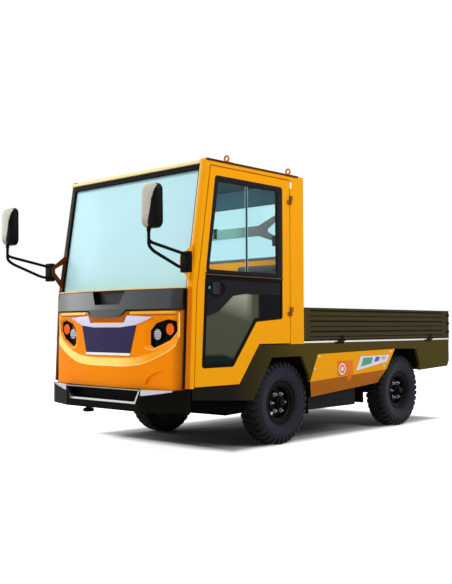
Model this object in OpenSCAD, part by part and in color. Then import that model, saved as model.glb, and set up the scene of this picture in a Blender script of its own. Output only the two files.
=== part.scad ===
// Airport baggage tug: an electric platform tractor with a two-door cab and a dropside bed.
// Front faces -Y, the vehicle's left is +X, Z is up and the ground is Z = 0.
// Lengths along the vehicle are first given from the front axle, and placed() then
// moves them so that the origin lies under the middle of the whole vehicle.

/* [Body] */
// Overall width over the skirts
body_w = 1610; // [1590:10:1700]
// Distance between the two axles
wheel_base = 1790; // [1780:10:1900]
// Height of the skirts' top edge, under the deck plate
skirt_top_z = 812; // [800:1:830]
// Rear face of the corner posts, behind the front axle
bed_rear_y = 2670; // [2640:10:2900]
// Thickness of the skirt sheet with its folded edge
skirt_t = 25; // [20:1:30]

/* [Cab] */
// Height of the roof
roof_z = 2190; // [2150:10:2260]
// Height of the sill under the doors
sill_z = 512; // [505:1:520]
// Height where the front pillar bends, at the windscreen's foot
waist_z = 1220; // [1200:5:1235]
// Front face of the pillar's foot, ahead of the front axle
foot_ahead = 1112; // [1105:1:1120]
// Front face of the pillar at the waist
waist_ahead = 1084; // [1078:1:1090]
// Front face of the pillar at the roof
roof_ahead = 935; // [920:1:950]
// Rear face of the cab, behind the front axle
cab_rear_y = 221; // [215:1:227]
// Thickness of the cab's walls and doors
cab_wall = 40; // [35:1:45]
// Width of the front pillar seen from the front
pillar_w = 55; // [45:1:60]
// Depth of the front pillar seen from the side
pillar_d = 52; // [46:1:58]
// Gap around each door
door_gap = 8; // [7:1:10]
// Rear edge of the door opening, behind the front axle
door_rear_y = 46; // [40:1:52]

/* [Front] */
// How far the cowl and fascia bulge ahead of the front axle at the middle
nose_ahead = 1215; // [1205:1:1220]
// Radius of the bulge seen from above
nose_r = 3270; // [3100:10:3500]
// Distance of the fascia's side from the body's side
fascia_side_gap = 63; // [61:1:69]
// Bottom edge of the fascia
fascia_low_z = 500; // [498:1:506]
// Top edge of the fascia
fascia_top_z = 1072; // [1066:1:1076]
// Thickness of the fascia moulding
fascia_t = 30; // [24:1:34]
// How far the bumper reaches ahead of the front axle
bumper_ahead = 1252; // [1245:1:1265]

/* [Wheels] */
// Outer diameter of a tyre, out to the tips of its tread blocks
tyre_od = 676; // [650:2:700]
// Width of a tyre
tyre_w = 190; // [170:2:196]
// Distance between the middles of the left and right tyres
track = 1322; // [1310:2:1326]
// Diameter where the tyre's bead sits on the rim
bead_d = 310; // [300:2:320]
// Diameter of the rim's outer lip
rim_lip_d = 342; // [336:2:350]
// Distance of the kingpin from the vehicle's middle
kingpin_x = 572; // [568:1:576]
// Diameter of the kingpin
kingpin_d = 28; // [24:1:30]
// Diameter of the wheel spindle
spindle_d = 44; // [36:2:50]

/* [Chassis] */
// Height of a frame rail
rail_h = 120; // [110:5:130]
// Width of a frame rail
rail_w = 62; // [56:1:70]
// Wall of a frame rail
rail_t = 8; // [6:1:10]
// Middle of a frame rail from the vehicle's middle
rail_x = 335; // [325:1:340]
// Underside of the front part of the rails
rail_low_z = 380; // [375:1:385]
// Height by which the rails rise over the rear axle
rail_rise = 155; // [140:5:160]

/* [Bed] */
// Thickness of the deck plate
deck_t = 22; // [18:1:26]
// Height of the dropsides above their lower edge
side_h = 270; // [240:10:320]
// Thickness of a dropside
side_t = 30; // [26:1:34]
// Width of a corner post
post_w = 50; // [44:1:56]
// Diameter of the barrels of the bed hinges
barrel_d = 18; // [16:1:20]

/* [Mirrors] */
// How far a mirror head's middle stands outside the body's side
mirror_out = 63; // [55:1:85]
// Front of a mirror head, ahead of the front axle
mirror_ahead = 1556; // [1520:1:1600]
// Middle of a mirror head above the ground
mirror_z = 1772; // [1740:1:1800]
// Height of a mirror head
mirror_h = 306; // [280:2:330]
// Width of a mirror head
mirror_w = 168; // [156:2:190]

/* [Hidden] */

$fn = 48;
// Overlap that lets cutting shapes pass through a face
eps = 1;
// Clearance between curved faces that run on each other
run_gap = 0.3;
body_half = body_w / 2;
fascia_half = body_half - fascia_side_gap;
mirror_x = body_half + mirror_out;
skirt_in_x = body_half - skirt_t;
deck_z = skirt_top_z + deck_t;
// How far the coupling's jaw reaches behind the corner posts
jaw_reach = 50;
front_reach = mirror_ahead;
rear_reach = bed_rear_y + jaw_reach;
mid_y = (rear_reach - front_reach) / 2;
wheel_z = tyre_od / 2;
wheel_x = track / 2;

// Seen from the side: points are [y, z], from the front axle
door_cut_low = [-572, sill_z];
door_cut_high = [-340, skirt_top_z];
foot_y = -foot_ahead;
waist_y = -waist_ahead;
roof_y = -roof_ahead;

// Moves a piece from the front axle's frame to the vehicle's own
module placed() {
  translate([0, -mid_y, 0]) children();
}

// Draws a piece and its twin on the other side
module both_sides() {
  children();
  mirror([1, 0, 0]) children();
}

// Turns an outline drawn as [y, z] into a sheet from x0 to x1
module side_sheet(x0, x1) {
  translate([x0, 0, 0]) rotate([90, 0, 90]) linear_extrude(x1 - x0) children();
}

// Turns an outline drawn as [x, z] into a slab from y0 to y1
module front_slab(y0, y1) {
  translate([0, y1, 0]) rotate([90, 0, 0]) linear_extrude(y1 - y0) children();
}

// Unit vector from p to q
function dir(p, q) = (q - p) / norm(q - p);

// Points of an outline whose corners are arcs of radius r, each of n steps
function rounded(pts, r, n = 4) = [
  for (i = [0 : len(pts) - 1])
    let (
      p = pts[i],
      u = dir(p, pts[(i + len(pts) - 1) % len(pts)]),
      v = dir(p, pts[(i + 1) % len(pts)]),
      half = acos(u * v) / 2,
      reach = r / tan(half),
      mid = p + (u + v) / norm(u + v) * r / sin(half),
      a0 = atan2((p + u * reach - mid)[1], (p + u * reach - mid)[0]),
      a1 = atan2((p + v * reach - mid)[1], (p + v * reach - mid)[0]),
      turn = (a1 - a0 + 540) % 360 - 180
    )
    for (k = [0 : n]) mid + r * [cos(a0 + turn * k / n), sin(a0 + turn * k / n)]
];

// y of the front pillar's front face at height z
function pillar_y(z) = z < waist_z
  ? foot_y + (waist_y - foot_y) * (z - sill_z) / (waist_z - sill_z)
  : waist_y + (roof_y - waist_y) * (z - waist_z) / (roof_z - waist_z);

// Wheels

wheel_bore_d = spindle_d + 2 * run_gap;
hub_d = 118;
hub_out = 52;
rim_half_w = 68;
rim_well_d = 270;
rim_lip_w = 8;

// Half section of a tyre as [radius, offset along the axle], for the outer half
tyre_half_section = [
  [bead_d / 2, rim_half_w - rim_lip_w],
  [rim_lip_d / 2 + 3, rim_half_w - rim_lip_w],
  [rim_lip_d / 2 + 8, rim_half_w + 6],
  [tyre_od / 2 - 118, tyre_w / 2 - 5],
  [tyre_od / 2 - 80, tyre_w / 2],
  [tyre_od / 2 - 48, tyre_w / 2 - 3],
  [tyre_od / 2 - 17, tyre_w / 2 - 12],
  [tyre_od / 2 - 6, tyre_w / 2 - 24],
  [tyre_od / 2, tyre_w / 2 - 44]
];
tyre_points = len(tyre_half_section);
// Shoulder blocks: how many go round, how wide and deep the slots between them are
lug_count = 36;
lug_gap = 20;
lug_depth = 12;
lug_in_x = tyre_w / 2 - 54;
lug_lean = 26;

module tyre() {
  color([0.09, 0.09, 0.1])
    difference() {
      rotate([0, 90, 0])
        rotate_extrude($fn = 96)
          polygon(concat(
            tyre_half_section,
            [for (i = [1 : tyre_points])
              [tyre_half_section[tyre_points - i][0], -tyre_half_section[tyre_points - i][1]]]
          ));
      for (side = [-1, 1])
        for (i = [0 : lug_count - 1])
          rotate([(i + side / 4) * 360 / lug_count, 0, 0])
            scale_side(side)
              translate([lug_in_x, -lug_gap / 2, tyre_od / 2 - lug_depth])
                rotate([0, lug_lean, 0]) cube([tyre_w / 2, lug_gap, 4 * lug_depth]);
    }
}

// Rim with its dished disc, hub and hand holes; the outer side is +X
disc_x = 22;
disc_t = 9;
hand_hole_count = 6;
hand_hole_d = 34;
hand_hole_r = 102;
stud_r = 76;
module rim() {
  color([0.05, 0.05, 0.055])
    difference() {
      rotate([0, 90, 0])
        rotate_extrude($fn = 96)
          union() {
            polygon([
              [rim_well_d / 2 - 7, -rim_half_w + 22], [rim_well_d / 2 - 7, rim_half_w - 22],
              [bead_d / 2 - 9, rim_half_w - 12], [bead_d / 2 - 9, rim_half_w],
              [rim_lip_d / 2, rim_half_w], [rim_lip_d / 2, rim_half_w - rim_lip_w],
              [bead_d / 2, rim_half_w - rim_lip_w], [rim_well_d / 2, rim_half_w - 26],
              [rim_well_d / 2, -rim_half_w + 26], [bead_d / 2, -rim_half_w + rim_lip_w],
              [rim_lip_d / 2, -rim_half_w + rim_lip_w], [rim_lip_d / 2, -rim_half_w],
              [bead_d / 2 - 9, -rim_half_w], [bead_d / 2 - 9, -rim_half_w + 12]
            ]);
            polygon([
              [wheel_bore_d / 2, disc_x], [wheel_bore_d / 2, disc_x + hub_out],
              [hub_d / 2 - 18, disc_x + hub_out], [hub_d / 2 - 12, disc_x + hub_out - 8],
              [hub_d / 2 - 6, disc_x + disc_t + 8], [stud_r + 14, disc_x + disc_t + 4],
              [hand_hole_r - 8, disc_x + disc_t - 6], [rim_well_d / 2 - 6, disc_x + disc_t - 14],
              [rim_well_d / 2 - 6, disc_x - 14], [hand_hole_r - 8, disc_x - 6],
              [stud_r + 14, disc_x - 4], [hub_d / 2, disc_x - 8], [wheel_bore_d / 2, disc_x - 8]
            ]);
          }
      for (i = [0 : hand_hole_count - 1])
        rotate([i * 360 / hand_hole_count + 30, 0, 0])
          translate([disc_x - 30, 0, hand_hole_r])
            rotate([0, 90, 0]) cylinder(d = hand_hole_d, h = 60, $fn = 24);
    }
}

module wheel_at(side, y) {
  translate([side * wheel_x, y, wheel_z]) scale_side(side) children();
}

// Turns a left-hand piece into a right-hand one where side is -1
module scale_side(side) {
  if (side > 0) children();
  else mirror([1, 0, 0]) children();
}

module tyre_front_left() { placed() wheel_at(1, 0) tyre(); }
module tyre_front_right() { placed() wheel_at(-1, 0) tyre(); }
module tyre_rear_left() { placed() wheel_at(1, wheel_base) tyre(); }
module tyre_rear_right() { placed() wheel_at(-1, wheel_base) tyre(); }
module rim_front_left() { placed() wheel_at(1, 0) rim(); }
module rim_front_right() { placed() wheel_at(-1, 0) rim(); }
module rim_rear_left() { placed() wheel_at(1, wheel_base) rim(); }
module rim_rear_right() { placed() wheel_at(-1, wheel_base) rim(); }

// Front axle, knuckles and track rod

boss_d = 62;
boss_h = 60;
fork_t = 20;
fork_gap = 0.5;
beam_drop = 55;
beam_h = 56;
beam_w = 64;
arm_len = 150;
arm_eye_d = 28;
rod_d = 24;
rod_pin_d = 14;
arm_t = 16;
arm_low_z = wheel_z - boss_h / 2 - fork_gap - fork_t;
rod_z = arm_low_z - run_gap - rod_d / 2;

module front_axle() {
  placed() color([0.1, 0.1, 0.11])
    difference() {
      union() {
        front_slab(-beam_w / 2, beam_w / 2)
          polygon([
            [-kingpin_x + 12, wheel_z + beam_h / 2], [-kingpin_x + 12, wheel_z - beam_h / 2],
            [-kingpin_x + 70, wheel_z - beam_h / 2 - 4],
            [-kingpin_x + 130, wheel_z - beam_drop - beam_h / 2],
            [kingpin_x - 130, wheel_z - beam_drop - beam_h / 2],
            [kingpin_x - 70, wheel_z - beam_h / 2 - 4],
            [kingpin_x - 12, wheel_z - beam_h / 2], [kingpin_x - 12, wheel_z + beam_h / 2],
            [kingpin_x - 60, wheel_z + beam_h / 2],
            [kingpin_x - 120, wheel_z - beam_drop + beam_h / 2],
            [-kingpin_x + 120, wheel_z - beam_drop + beam_h / 2],
            [-kingpin_x + 60, wheel_z + beam_h / 2]
          ]);
        for (side = [-1, 1])
          translate([side * kingpin_x, 0, wheel_z - boss_h / 2]) cylinder(d = boss_d, h = boss_h);
      }
      for (side = [-1, 1])
        translate([side * kingpin_x, 0, wheel_z - boss_h / 2 - eps])
          cylinder(d = kingpin_d + 2 * run_gap, h = boss_h + 2 * eps);
      for (side = [-1, 1])
        translate([side * (kingpin_x + boss_d), 0, wheel_z])
          cube([boss_d, 2 * boss_d, 2 * boss_h], center = true);
    }
}

// Left knuckle: a fork round the axle's boss, with the wheel's spindle and the steering arm
spindle_len = wheel_x - kingpin_x + disc_x + hub_out - 6;
module knuckle() {
  color([0.16, 0.16, 0.17])
    translate([kingpin_x, 0, wheel_z]) {
      for (up = [0, 1])
        translate([0, 0, up ? boss_h / 2 + fork_gap : -boss_h / 2 - fork_gap - fork_t])
          union() {
            cylinder(d = boss_d, h = fork_t);
            translate([0, -boss_d / 2, 0]) cube([boss_d / 2 + 20, boss_d, fork_t]);
          }
      translate([0, 0, -boss_h / 2 - fork_gap - 2])
        cylinder(d = kingpin_d, h = boss_h + 2 * fork_gap + 4);
      translate([boss_d / 2 + 6, -boss_d / 2, -boss_h / 2 - fork_gap - fork_t])
        cube([18, boss_d, boss_h + 2 * fork_gap + 2 * fork_t]);
      translate([boss_d / 2 + 22, 0, 0]) rotate([0, 90, 0]) cylinder(d = 78, h = 8);
      translate([boss_d / 2 + 22, 0, 0])
        rotate([0, 90, 0]) cylinder(d = spindle_d, h = spindle_len - boss_d / 2 - 22);
      steering_arm();
    }
}

// Arm that reaches back from the fork's lower leg to the track rod
module steering_arm() {
  translate([0, 0, -boss_h / 2 - fork_gap - fork_t])
    difference() {
      union() {
        linear_extrude(arm_t)
          polygon([[-22, 0], [22, 0], [arm_eye_d / 2, arm_len], [-arm_eye_d / 2, arm_len]]);
        translate([0, arm_len, 0]) cylinder(d = arm_eye_d, h = arm_t);
      }
      translate([0, arm_len, -eps]) cylinder(d = rod_pin_d + 2 * run_gap, h = arm_t + 2 * eps);
    }
}

module knuckle_left() { placed() knuckle(); }
module knuckle_right() { placed() mirror([1, 0, 0]) knuckle(); }

module track_rod() {
  placed() color([0.2, 0.2, 0.21])
    translate([0, arm_len, rod_z])
      union() {
        translate([-kingpin_x, 0, 0]) rotate([0, 90, 0]) cylinder(d = rod_d - 4, h = 2 * kingpin_x);
        for (side = [-1, 1])
          translate([side * kingpin_x, 0, -rod_d / 2]) cylinder(d = arm_eye_d, h = rod_d);
        for (side = [-1, 1])
          translate([side * kingpin_x, 0, 0])
            cylinder(d = rod_pin_d, h = rod_d / 2 + run_gap + arm_t);
      }
}

// Rear axle with its reduction housing and the motor on it

axle_tube_d = 84;
axle_housing_d = 250;
housing_x = 60;
pinion_d = 116;
flange_x = wheel_x - 42;
motor_d = 210;
motor_len = 250;
module rear_axle() {
  placed() color([0.11, 0.11, 0.12])
    translate([0, wheel_base, wheel_z]) {
      rotate([0, 90, 0])
        rotate_extrude($fn = 64)
          polygon([
            [0, -flange_x], [axle_tube_d / 2, -flange_x], [axle_tube_d / 2, housing_x - 150],
            [axle_housing_d / 2, housing_x - 65], [axle_housing_d / 2, housing_x + 65],
            [axle_tube_d / 2, housing_x + 150], [axle_tube_d / 2, flange_x], [0, flange_x]
          ]);
      translate([housing_x, 0, 0])
        rotate([90, 0, 0]) {
          cylinder(d = pinion_d, h = axle_housing_d / 2 + 10);
          translate([0, 0, axle_housing_d / 2 + 4]) cylinder(d = motor_d - 20, h = 16);
        }
      for (side = [-1, 1])
        scale_side(side) {
          translate([flange_x - 18, 0, 0]) rotate([0, 90, 0]) cylinder(d = 230, h = 60);
          translate([flange_x, 0, 0])
            rotate([0, 90, 0]) cylinder(d = spindle_d, h = wheel_x + disc_x + hub_out - 6 - flange_x);
        }
    }
}

module drive_motor() {
  motor_y = wheel_base - axle_housing_d / 2 - 20;
  placed() color([0.2, 0.21, 0.22])
    translate([housing_x, motor_y, wheel_z])
      rotate([90, 0, 0])
        difference() {
          union() {
            cylinder(d = motor_d, h = motor_len);
            translate([0, 0, motor_len]) cylinder(d = motor_d - 50, h = 22);
          }
          for (i = [0 : 11])
            rotate([0, 0, i * 30 + 15])
              translate([motor_d / 2 - 5, -5, 24]) cube([12, 10, motor_len - 48]);
        }
}

// Leaf springs: each is a stack of leaves under a rail, with eyes at both ends

leaf_w = 58;
leaf_t = 9;
leaf_count = 4;
spring_eye_d = 30;
spring_half = 300;

// Heights: axle_top is where the stack rests, eye_z the middle of the eyes
module leaf_spring(y0, axle_top, eye_z, half) {
  for (side = [-1, 1])
    scale_side(side)
      translate([rail_x - leaf_w / 2, y0, 0])
        rotate([90, 0, 90])
          linear_extrude(leaf_w)
            difference() {
              union() {
                for (i = [0 : leaf_count - 1]) {
                  reach = half * (i + 1) / leaf_count;
                  rise = (eye_z - leaf_t / 2 - axle_top - leaf_count * leaf_t) * (i + 1) / leaf_count;
                  low = axle_top + i * leaf_t;
                  polygon([
                    [-60, low], [60, low], [reach, low + rise], [reach, low + leaf_t + rise],
                    [60, low + leaf_t + 0.01], [-60, low + leaf_t + 0.01],
                    [-reach, low + leaf_t + rise], [-reach, low + rise]
                  ]);
                }
                for (end = [-1, 1]) translate([end * half, eye_z]) circle(d = spring_eye_d);
              }
              for (end = [-1, 1]) translate([end * half, eye_z]) circle(d = 14);
            }
}

front_seat_z = wheel_z - beam_drop + beam_h / 2;
front_eye_z = rail_low_z - spring_eye_d / 2 - run_gap;
rear_seat_z = wheel_z + axle_tube_d / 2;
rear_eye_z = front_eye_z + rail_rise;

module leaf_springs() {
  placed() color([0.13, 0.13, 0.14]) {
    leaf_spring(0, front_seat_z, front_eye_z, spring_half);
    leaf_spring(wheel_base, rear_seat_z, rear_eye_z, spring_half + 60);
  }
}

// Chassis: two channel rails that rise over the rear axle, cross members and outriggers

rail_front_y = -1090;
rail_rear_y = bed_rear_y - 50;
kink_front_y = wheel_base - 660;
kink_rear_y = wheel_base - 460;
rail_top_z = rail_low_z + rail_h;
rear_rail_top_z = rail_top_z + rail_rise;

function rail_outline(inset) = [
  [rail_front_y - (inset > 0 ? eps : 0), rail_low_z + inset],
  [kink_front_y + inset / 3, rail_low_z + inset],
  [kink_rear_y + inset / 3, rail_low_z + rail_rise + inset],
  [rail_rear_y + (inset > 0 ? eps : 0), rail_low_z + rail_rise + inset],
  [rail_rear_y + (inset > 0 ? eps : 0), rear_rail_top_z - inset],
  [kink_rear_y - inset / 3, rear_rail_top_z - inset],
  [kink_front_y - inset / 3, rail_top_z - inset],
  [rail_front_y - (inset > 0 ? eps : 0), rail_top_z - inset]
];

// Cross members as [y, underside, height]
cross_members = [
  [-1080, rail_low_z, rail_h], [-620, rail_low_z, rail_h], [440, rail_low_z, rail_h],
  [wheel_base - 730, rail_low_z, rail_h], [wheel_base + 330, rail_low_z + rail_rise, rail_h],
  [rail_rear_y - 60, rail_low_z + rail_rise, rail_h]
];
cross_d = 60;

module chassis_frame() {
  placed() color([0.07, 0.07, 0.08]) {
    both_sides()
      difference() {
        side_sheet(rail_x - rail_w / 2, rail_x + rail_w / 2) polygon(rail_outline(0));
        side_sheet(rail_x - rail_w / 2 - eps, rail_x + rail_w / 2 - rail_t)
          polygon(rail_outline(rail_t));
      }
    for (m = cross_members)
      translate([-rail_x + rail_w / 2 - rail_w + rail_t, m[0], m[1]])
        difference() {
          cube([2 * rail_x + rail_w - 2 * rail_t, cross_d, m[2]]);
          translate([rail_w, -eps, -eps])
            cube([2 * rail_x - rail_w, cross_d - rail_t + eps, m[2] - rail_t + eps]);
        }
    cab_outriggers();
  }
}

// Arms that carry the cab's floor outboard of the rails
outrigger_ys = [-1040, -640];
outrigger_h = 70;
apron_top_z = rail_top_z - outrigger_h;
module cab_outriggers() {
  for (y = outrigger_ys)
    both_sides()
      translate([rail_x + rail_w / 2, y, apron_top_z])
        cube([skirt_in_x - rail_x - rail_w / 2, 50, rail_top_z - apron_top_z]);
}

// Batteries: one closed pack on each side, between the wheels

battery_front_y = 406;
battery_len = wheel_base - battery_front_y - 690;
battery_low_z = 248;
battery_out_x = body_half - 105;
battery_top_z = skirt_top_z - 82;
module batteries() {
  placed() color([0.12, 0.12, 0.12])
    both_sides()
      translate([rail_x + rail_w / 2, battery_front_y, battery_low_z])
        difference() {
          cube([battery_out_x - rail_x - rail_w / 2, battery_len, battery_top_z - battery_low_z]);
          for (z = [60, 130])
            translate([battery_out_x - rail_x - rail_w / 2 - 4, 30, z]) cube([8, battery_len - 60, 10]);
        }
}

// Side panels over the batteries, with the lower face folded inwards

// Corners of the panel as [y, z]
panel_outline = [
  [302, skirt_top_z - 316], [413, skirt_top_z - 91], [wheel_base - 168, skirt_top_z - 70],
  [wheel_base - 318, skirt_top_z - 256], [wheel_base - 390, skirt_top_z - 380],
  [392, skirt_top_z - 452]
];
panel_t = 30;
panel_out_x = body_half - 2;
fold_in = 60;
panel_gap = 3;
cover_y = 690;
cover_w = 236;
cover_low_z = panel_outline[0][1] + 40;
cover_h = 118;
cover_t = 10;

module battery_panel(side) {
  placed() color([0.93, 0.62, 0.04])
    scale_side(side)
      difference() {
        side_sheet(panel_out_x - fold_in - panel_t, panel_out_x) polygon(panel_outline);
        at_crease(panel_out_x) rotate([0, fold_angle, 0]) translate([0, 0, -400]) cube([300, 2000, 400]);
        at_crease(panel_out_x - panel_t) {
          rotate([0, fold_angle, 0]) translate([-300, 0, -400]) cube([300, 2000, 400]);
          translate([-300, 0, eps]) cube([300, 2000, 400]);
        }
        if (side > 0) cover_pocket();
      }
}

// Stands at a distance x from the middle, with Y along the crease above the folded lower face
fold_angle = atan(fold_in / 140);
crease_rise = atan((panel_outline[3][1] - panel_outline[0][1]) / (panel_outline[3][0] - panel_outline[0][0]));
module at_crease(x) {
  translate([x, panel_outline[0][0], panel_outline[0][1]])
    rotate([crease_rise, 0, 0])
      translate([0, -300, 0]) children();
}

module cover_pocket() {
  translate([panel_out_x - cover_t, cover_y - 1, cover_low_z - 1])
    cube([cover_t + eps, cover_w + 2, cover_h + 2]);
}

module battery_panels() {
  for (side = [-1, 1]) battery_panel(side);
}

// Cover over the charging point, let into the left panel
module charge_cover() {
  placed() color([0.85, 0.25, 0.04])
    translate([panel_out_x - cover_t, cover_y, cover_low_z])
      difference() {
        cube([cover_t, cover_w, cover_h]);
        translate([cover_t - 2, cover_w / 2, cover_h / 2])
          rotate([0, 90, 0])
            difference() {
              cylinder(d = 90, h = 4);
              translate([0, 0, -eps]) cylinder(d = 82, h = 6);
            }
      }
}

// Skirts: the dark side sheets with both wheel arches, under the doors and the deck

front_arch = [
  [287, wheel_z + 212], [192, tyre_od + 36], [-192, tyre_od + 33], [-418, wheel_z + 49]
];
rear_arch = [
  [wheel_base + 279, wheel_z + 186], [wheel_base + 286, wheel_z + 249],
  [wheel_base + 217, tyre_od + 59], [wheel_base - 129, tyre_od + 68]
];
skirt_front_y = -1078;
skirt_rear_y = bed_rear_y - 6;
skirt_low_z = sill_z - 81;
module skirt() {
  side_sheet(skirt_in_x, body_half)
    polygon(concat(
      [
        [skirt_front_y, skirt_low_z], [skirt_front_y + 4, sill_z],
        [door_cut_low[0] - 2, sill_z], [door_cut_high[0] - 2, skirt_top_z],
        [skirt_rear_y, skirt_top_z], [skirt_rear_y, skirt_top_z - 212],
        [skirt_rear_y - 36, skirt_top_z - 267]
      ],
      rear_arch,
      [
        [panel_outline[2][0] + 2, panel_outline[2][1] + panel_gap],
        [panel_outline[1][0] - panel_gap, panel_outline[1][1] + panel_gap],
        [panel_outline[0][0] - panel_gap, panel_outline[0][1]],
        [front_arch[0][0] + 3, panel_outline[0][1]]
      ],
      front_arch
    ));
}

module skirts() {
  placed() color([0.27, 0.25, 0.1]) both_sides() skirt();
}

// Wheel arch liners: bent sheets over each wheel, with a rubber flap below
liner_t = 4;
liner_in_x = rail_x + rail_w / 2 + 10;
front_liner = [
  [-428, wheel_z + 62], [-205, tyre_od + 40], [206, tyre_od + 40],
  [312, wheel_z + 262], [400, wheel_z + 94]
];
rear_liner = [
  [wheel_base - 378, wheel_z + 94], [wheel_base - 306, wheel_z + 214],
  [wheel_base - 150, tyre_od + 58], [wheel_base + 226, tyre_od + 58],
  [wheel_base + 292, wheel_z + 252], [wheel_base + 292, wheel_z + 192]
];
// Where the front liner narrows to pass behind the battery panel
liner_narrow_x = battery_out_x + 4;
mudflap_w = 144;
mudflap_low_z = 216;

// Sheet of thickness t along the points, grown to the outer side of the arch
module bent_sheet(pts, t) {
  for (i = [0 : len(pts) - 2]) {
    along = dir(pts[i], pts[i + 1]);
    out = [-along[1], along[0]] * t;
    over = along * t * 0.6;
    polygon([pts[i] - over, pts[i + 1] + over, pts[i + 1] + over + out, pts[i] - over + out]);
  }
}

module arch_liners() {
  placed() color([0.05, 0.05, 0.05])
    both_sides() {
      side_sheet(liner_in_x, liner_narrow_x) bent_sheet(front_liner, liner_t);
      side_sheet(liner_narrow_x, skirt_in_x)
        bent_sheet([for (i = [0 : 3]) front_liner[i]], liner_t);
      side_sheet(liner_in_x, skirt_in_x) bent_sheet(rear_liner, liner_t);
      translate([liner_narrow_x - mudflap_w, front_liner[4][0], mudflap_low_z])
        cube([mudflap_w, 6, front_liner[4][1] - mudflap_low_z + 10]);
      translate([liner_in_x, rear_liner[0][0] - 5, mudflap_low_z + 18])
        cube([208, 6, rear_liner[0][1] - mudflap_low_z - 8]);
    }
}

// Black aprons that close the underside of the cab's steps
apron_out_x = body_half - 37;
module sill_aprons() {
  placed() color([0.05, 0.05, 0.05])
    both_sides()
      side_sheet(apron_out_x - 22, apron_out_x)
        polygon([
          [-1062, apron_top_z], [-1056, rail_low_z - 41], [-695, rail_low_z - 90],
          [-493, rail_low_z - 83], [-440, rail_low_z - 2], [-440, apron_top_z]
        ]);
}

// Cab frame: pillars, roof rails, headers, front bulkhead and rear wall in one welded shell

door_top_z = roof_z - 40;
glass_top_z = roof_z - 78;
shelf_z = waist_z + 8;
shelf_t = 12;
bulkhead_y = foot_y + 37;
bulkhead_t = 25;
rear_wall_in_y = cab_rear_y - cab_wall;
cab_in_x = body_half - cab_wall;
window_half = cab_in_x - 165;
window_low_z = waist_z + 320;
window_top_z = roof_z - 180;
pillar_round_r = 20;
header_back_y = roof_y + 74;

pillar_outline = [
  [foot_y, sill_z], [waist_y, waist_z], [roof_y, roof_z],
  [roof_y + pillar_d, roof_z], [waist_y + pillar_d, waist_z], [foot_y + pillar_d, sill_z]
];

module side_frame() {
  side_sheet(cab_in_x, body_half)
    difference() {
      polygon([
        [waist_y, waist_z], [roof_y, roof_z], [cab_rear_y, roof_z],
        [cab_rear_y, skirt_top_z], [door_rear_y, skirt_top_z], [door_rear_y, waist_z]
      ]);
      polygon([
        [waist_y + pillar_d, waist_z], [pillar_y(door_top_z) + pillar_d, door_top_z],
        [door_rear_y, door_top_z], [door_rear_y, skirt_top_z - eps],
        [waist_y + pillar_d, skirt_top_z - eps]
      ]);
    }
  side_sheet(body_half - pillar_w, body_half) polygon(pillar_outline);
}

// Cutter that rounds the pillar's outer front edge between two heights
module edge_round(z0, z1) {
  lean = atan((pillar_y(z1) - pillar_y(z0)) / (z1 - z0));
  translate([body_half, pillar_y(z0), z0])
    rotate([-lean, 0, 0])
      translate([0, 0, -30])
        linear_extrude((z1 - z0) / cos(lean) + 60)
          difference() {
            translate([-pillar_round_r, -eps]) square([pillar_round_r + eps, pillar_round_r + eps]);
            translate([-pillar_round_r, pillar_round_r]) circle(r = pillar_round_r);
          }
}

module rear_window_outline() {
  polygon(rounded([
    [-window_half, window_low_z], [window_half, window_low_z],
    [window_half, window_top_z], [-window_half, window_top_z]
  ], 45, 5));
}

// Solid inside the nose's curve, set back by an amount, from z0 to z1
module nose_solid(back, half, z0, z1, y_back = bulkhead_y) {
  translate([0, 0, z0])
    linear_extrude(z1 - z0)
      intersection() {
        translate([0, nose_r - nose_ahead]) circle(r = nose_r - back, $fn = 360);
        translate([-half, -nose_ahead - 10]) square([2 * half, nose_ahead + 10 + y_back]);
      }
}

module cab_frame() {
  placed() color([0.93, 0.6, 0.03]) {
    both_sides()
      difference() {
        side_frame();
        edge_round(sill_z, waist_z);
        edge_round(waist_z, roof_z);
      }
    side_sheet(-body_half + pillar_w, body_half - pillar_w)
      polygon([
        [pillar_y(glass_top_z) + 4, glass_top_z], [roof_y + 4, roof_z - 6],
        [header_back_y, roof_z - 6], [header_back_y, glass_top_z]
      ]);
    translate([-body_half + pillar_w, bulkhead_y, sill_z])
      cube([2 * (body_half - pillar_w), bulkhead_t, shelf_z + shelf_t - sill_z]);
    nose_solid(22, fascia_half, shelf_z, shelf_z + shelf_t);
    front_slab(rear_wall_in_y, cab_rear_y)
      difference() {
        translate([-cab_in_x, skirt_top_z]) square([2 * cab_in_x, roof_z - skirt_top_z]);
        rear_window_outline();
      }
    both_sides() mirror_bracket();
    both_sides() door_hinge(true);
  }
}

// Triangular plate on the pillar that carries the mirror's clamp
bracket_x = body_half - 35;
bracket_t = 8;
clamp_y = foot_y - 38;
clamp_z = waist_z + 194;
module mirror_bracket() {
  low = clamp_z - 137;
  high = clamp_z + 146;
  side_sheet(bracket_x, bracket_x + bracket_t)
    difference() {
      polygon([
        [pillar_y(low) + 6, low], [clamp_y - 16, clamp_z - 22],
        [clamp_y - 16, clamp_z + 38], [pillar_y(high) + 6, high]
      ]);
      polygon([
        [pillar_y(low + 70) - 10, low + 70], [clamp_y + 16, clamp_z - 4],
        [clamp_y + 16, clamp_z + 26], [pillar_y(high - 75) - 10, high - 75]
      ]);
    }
}

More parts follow.
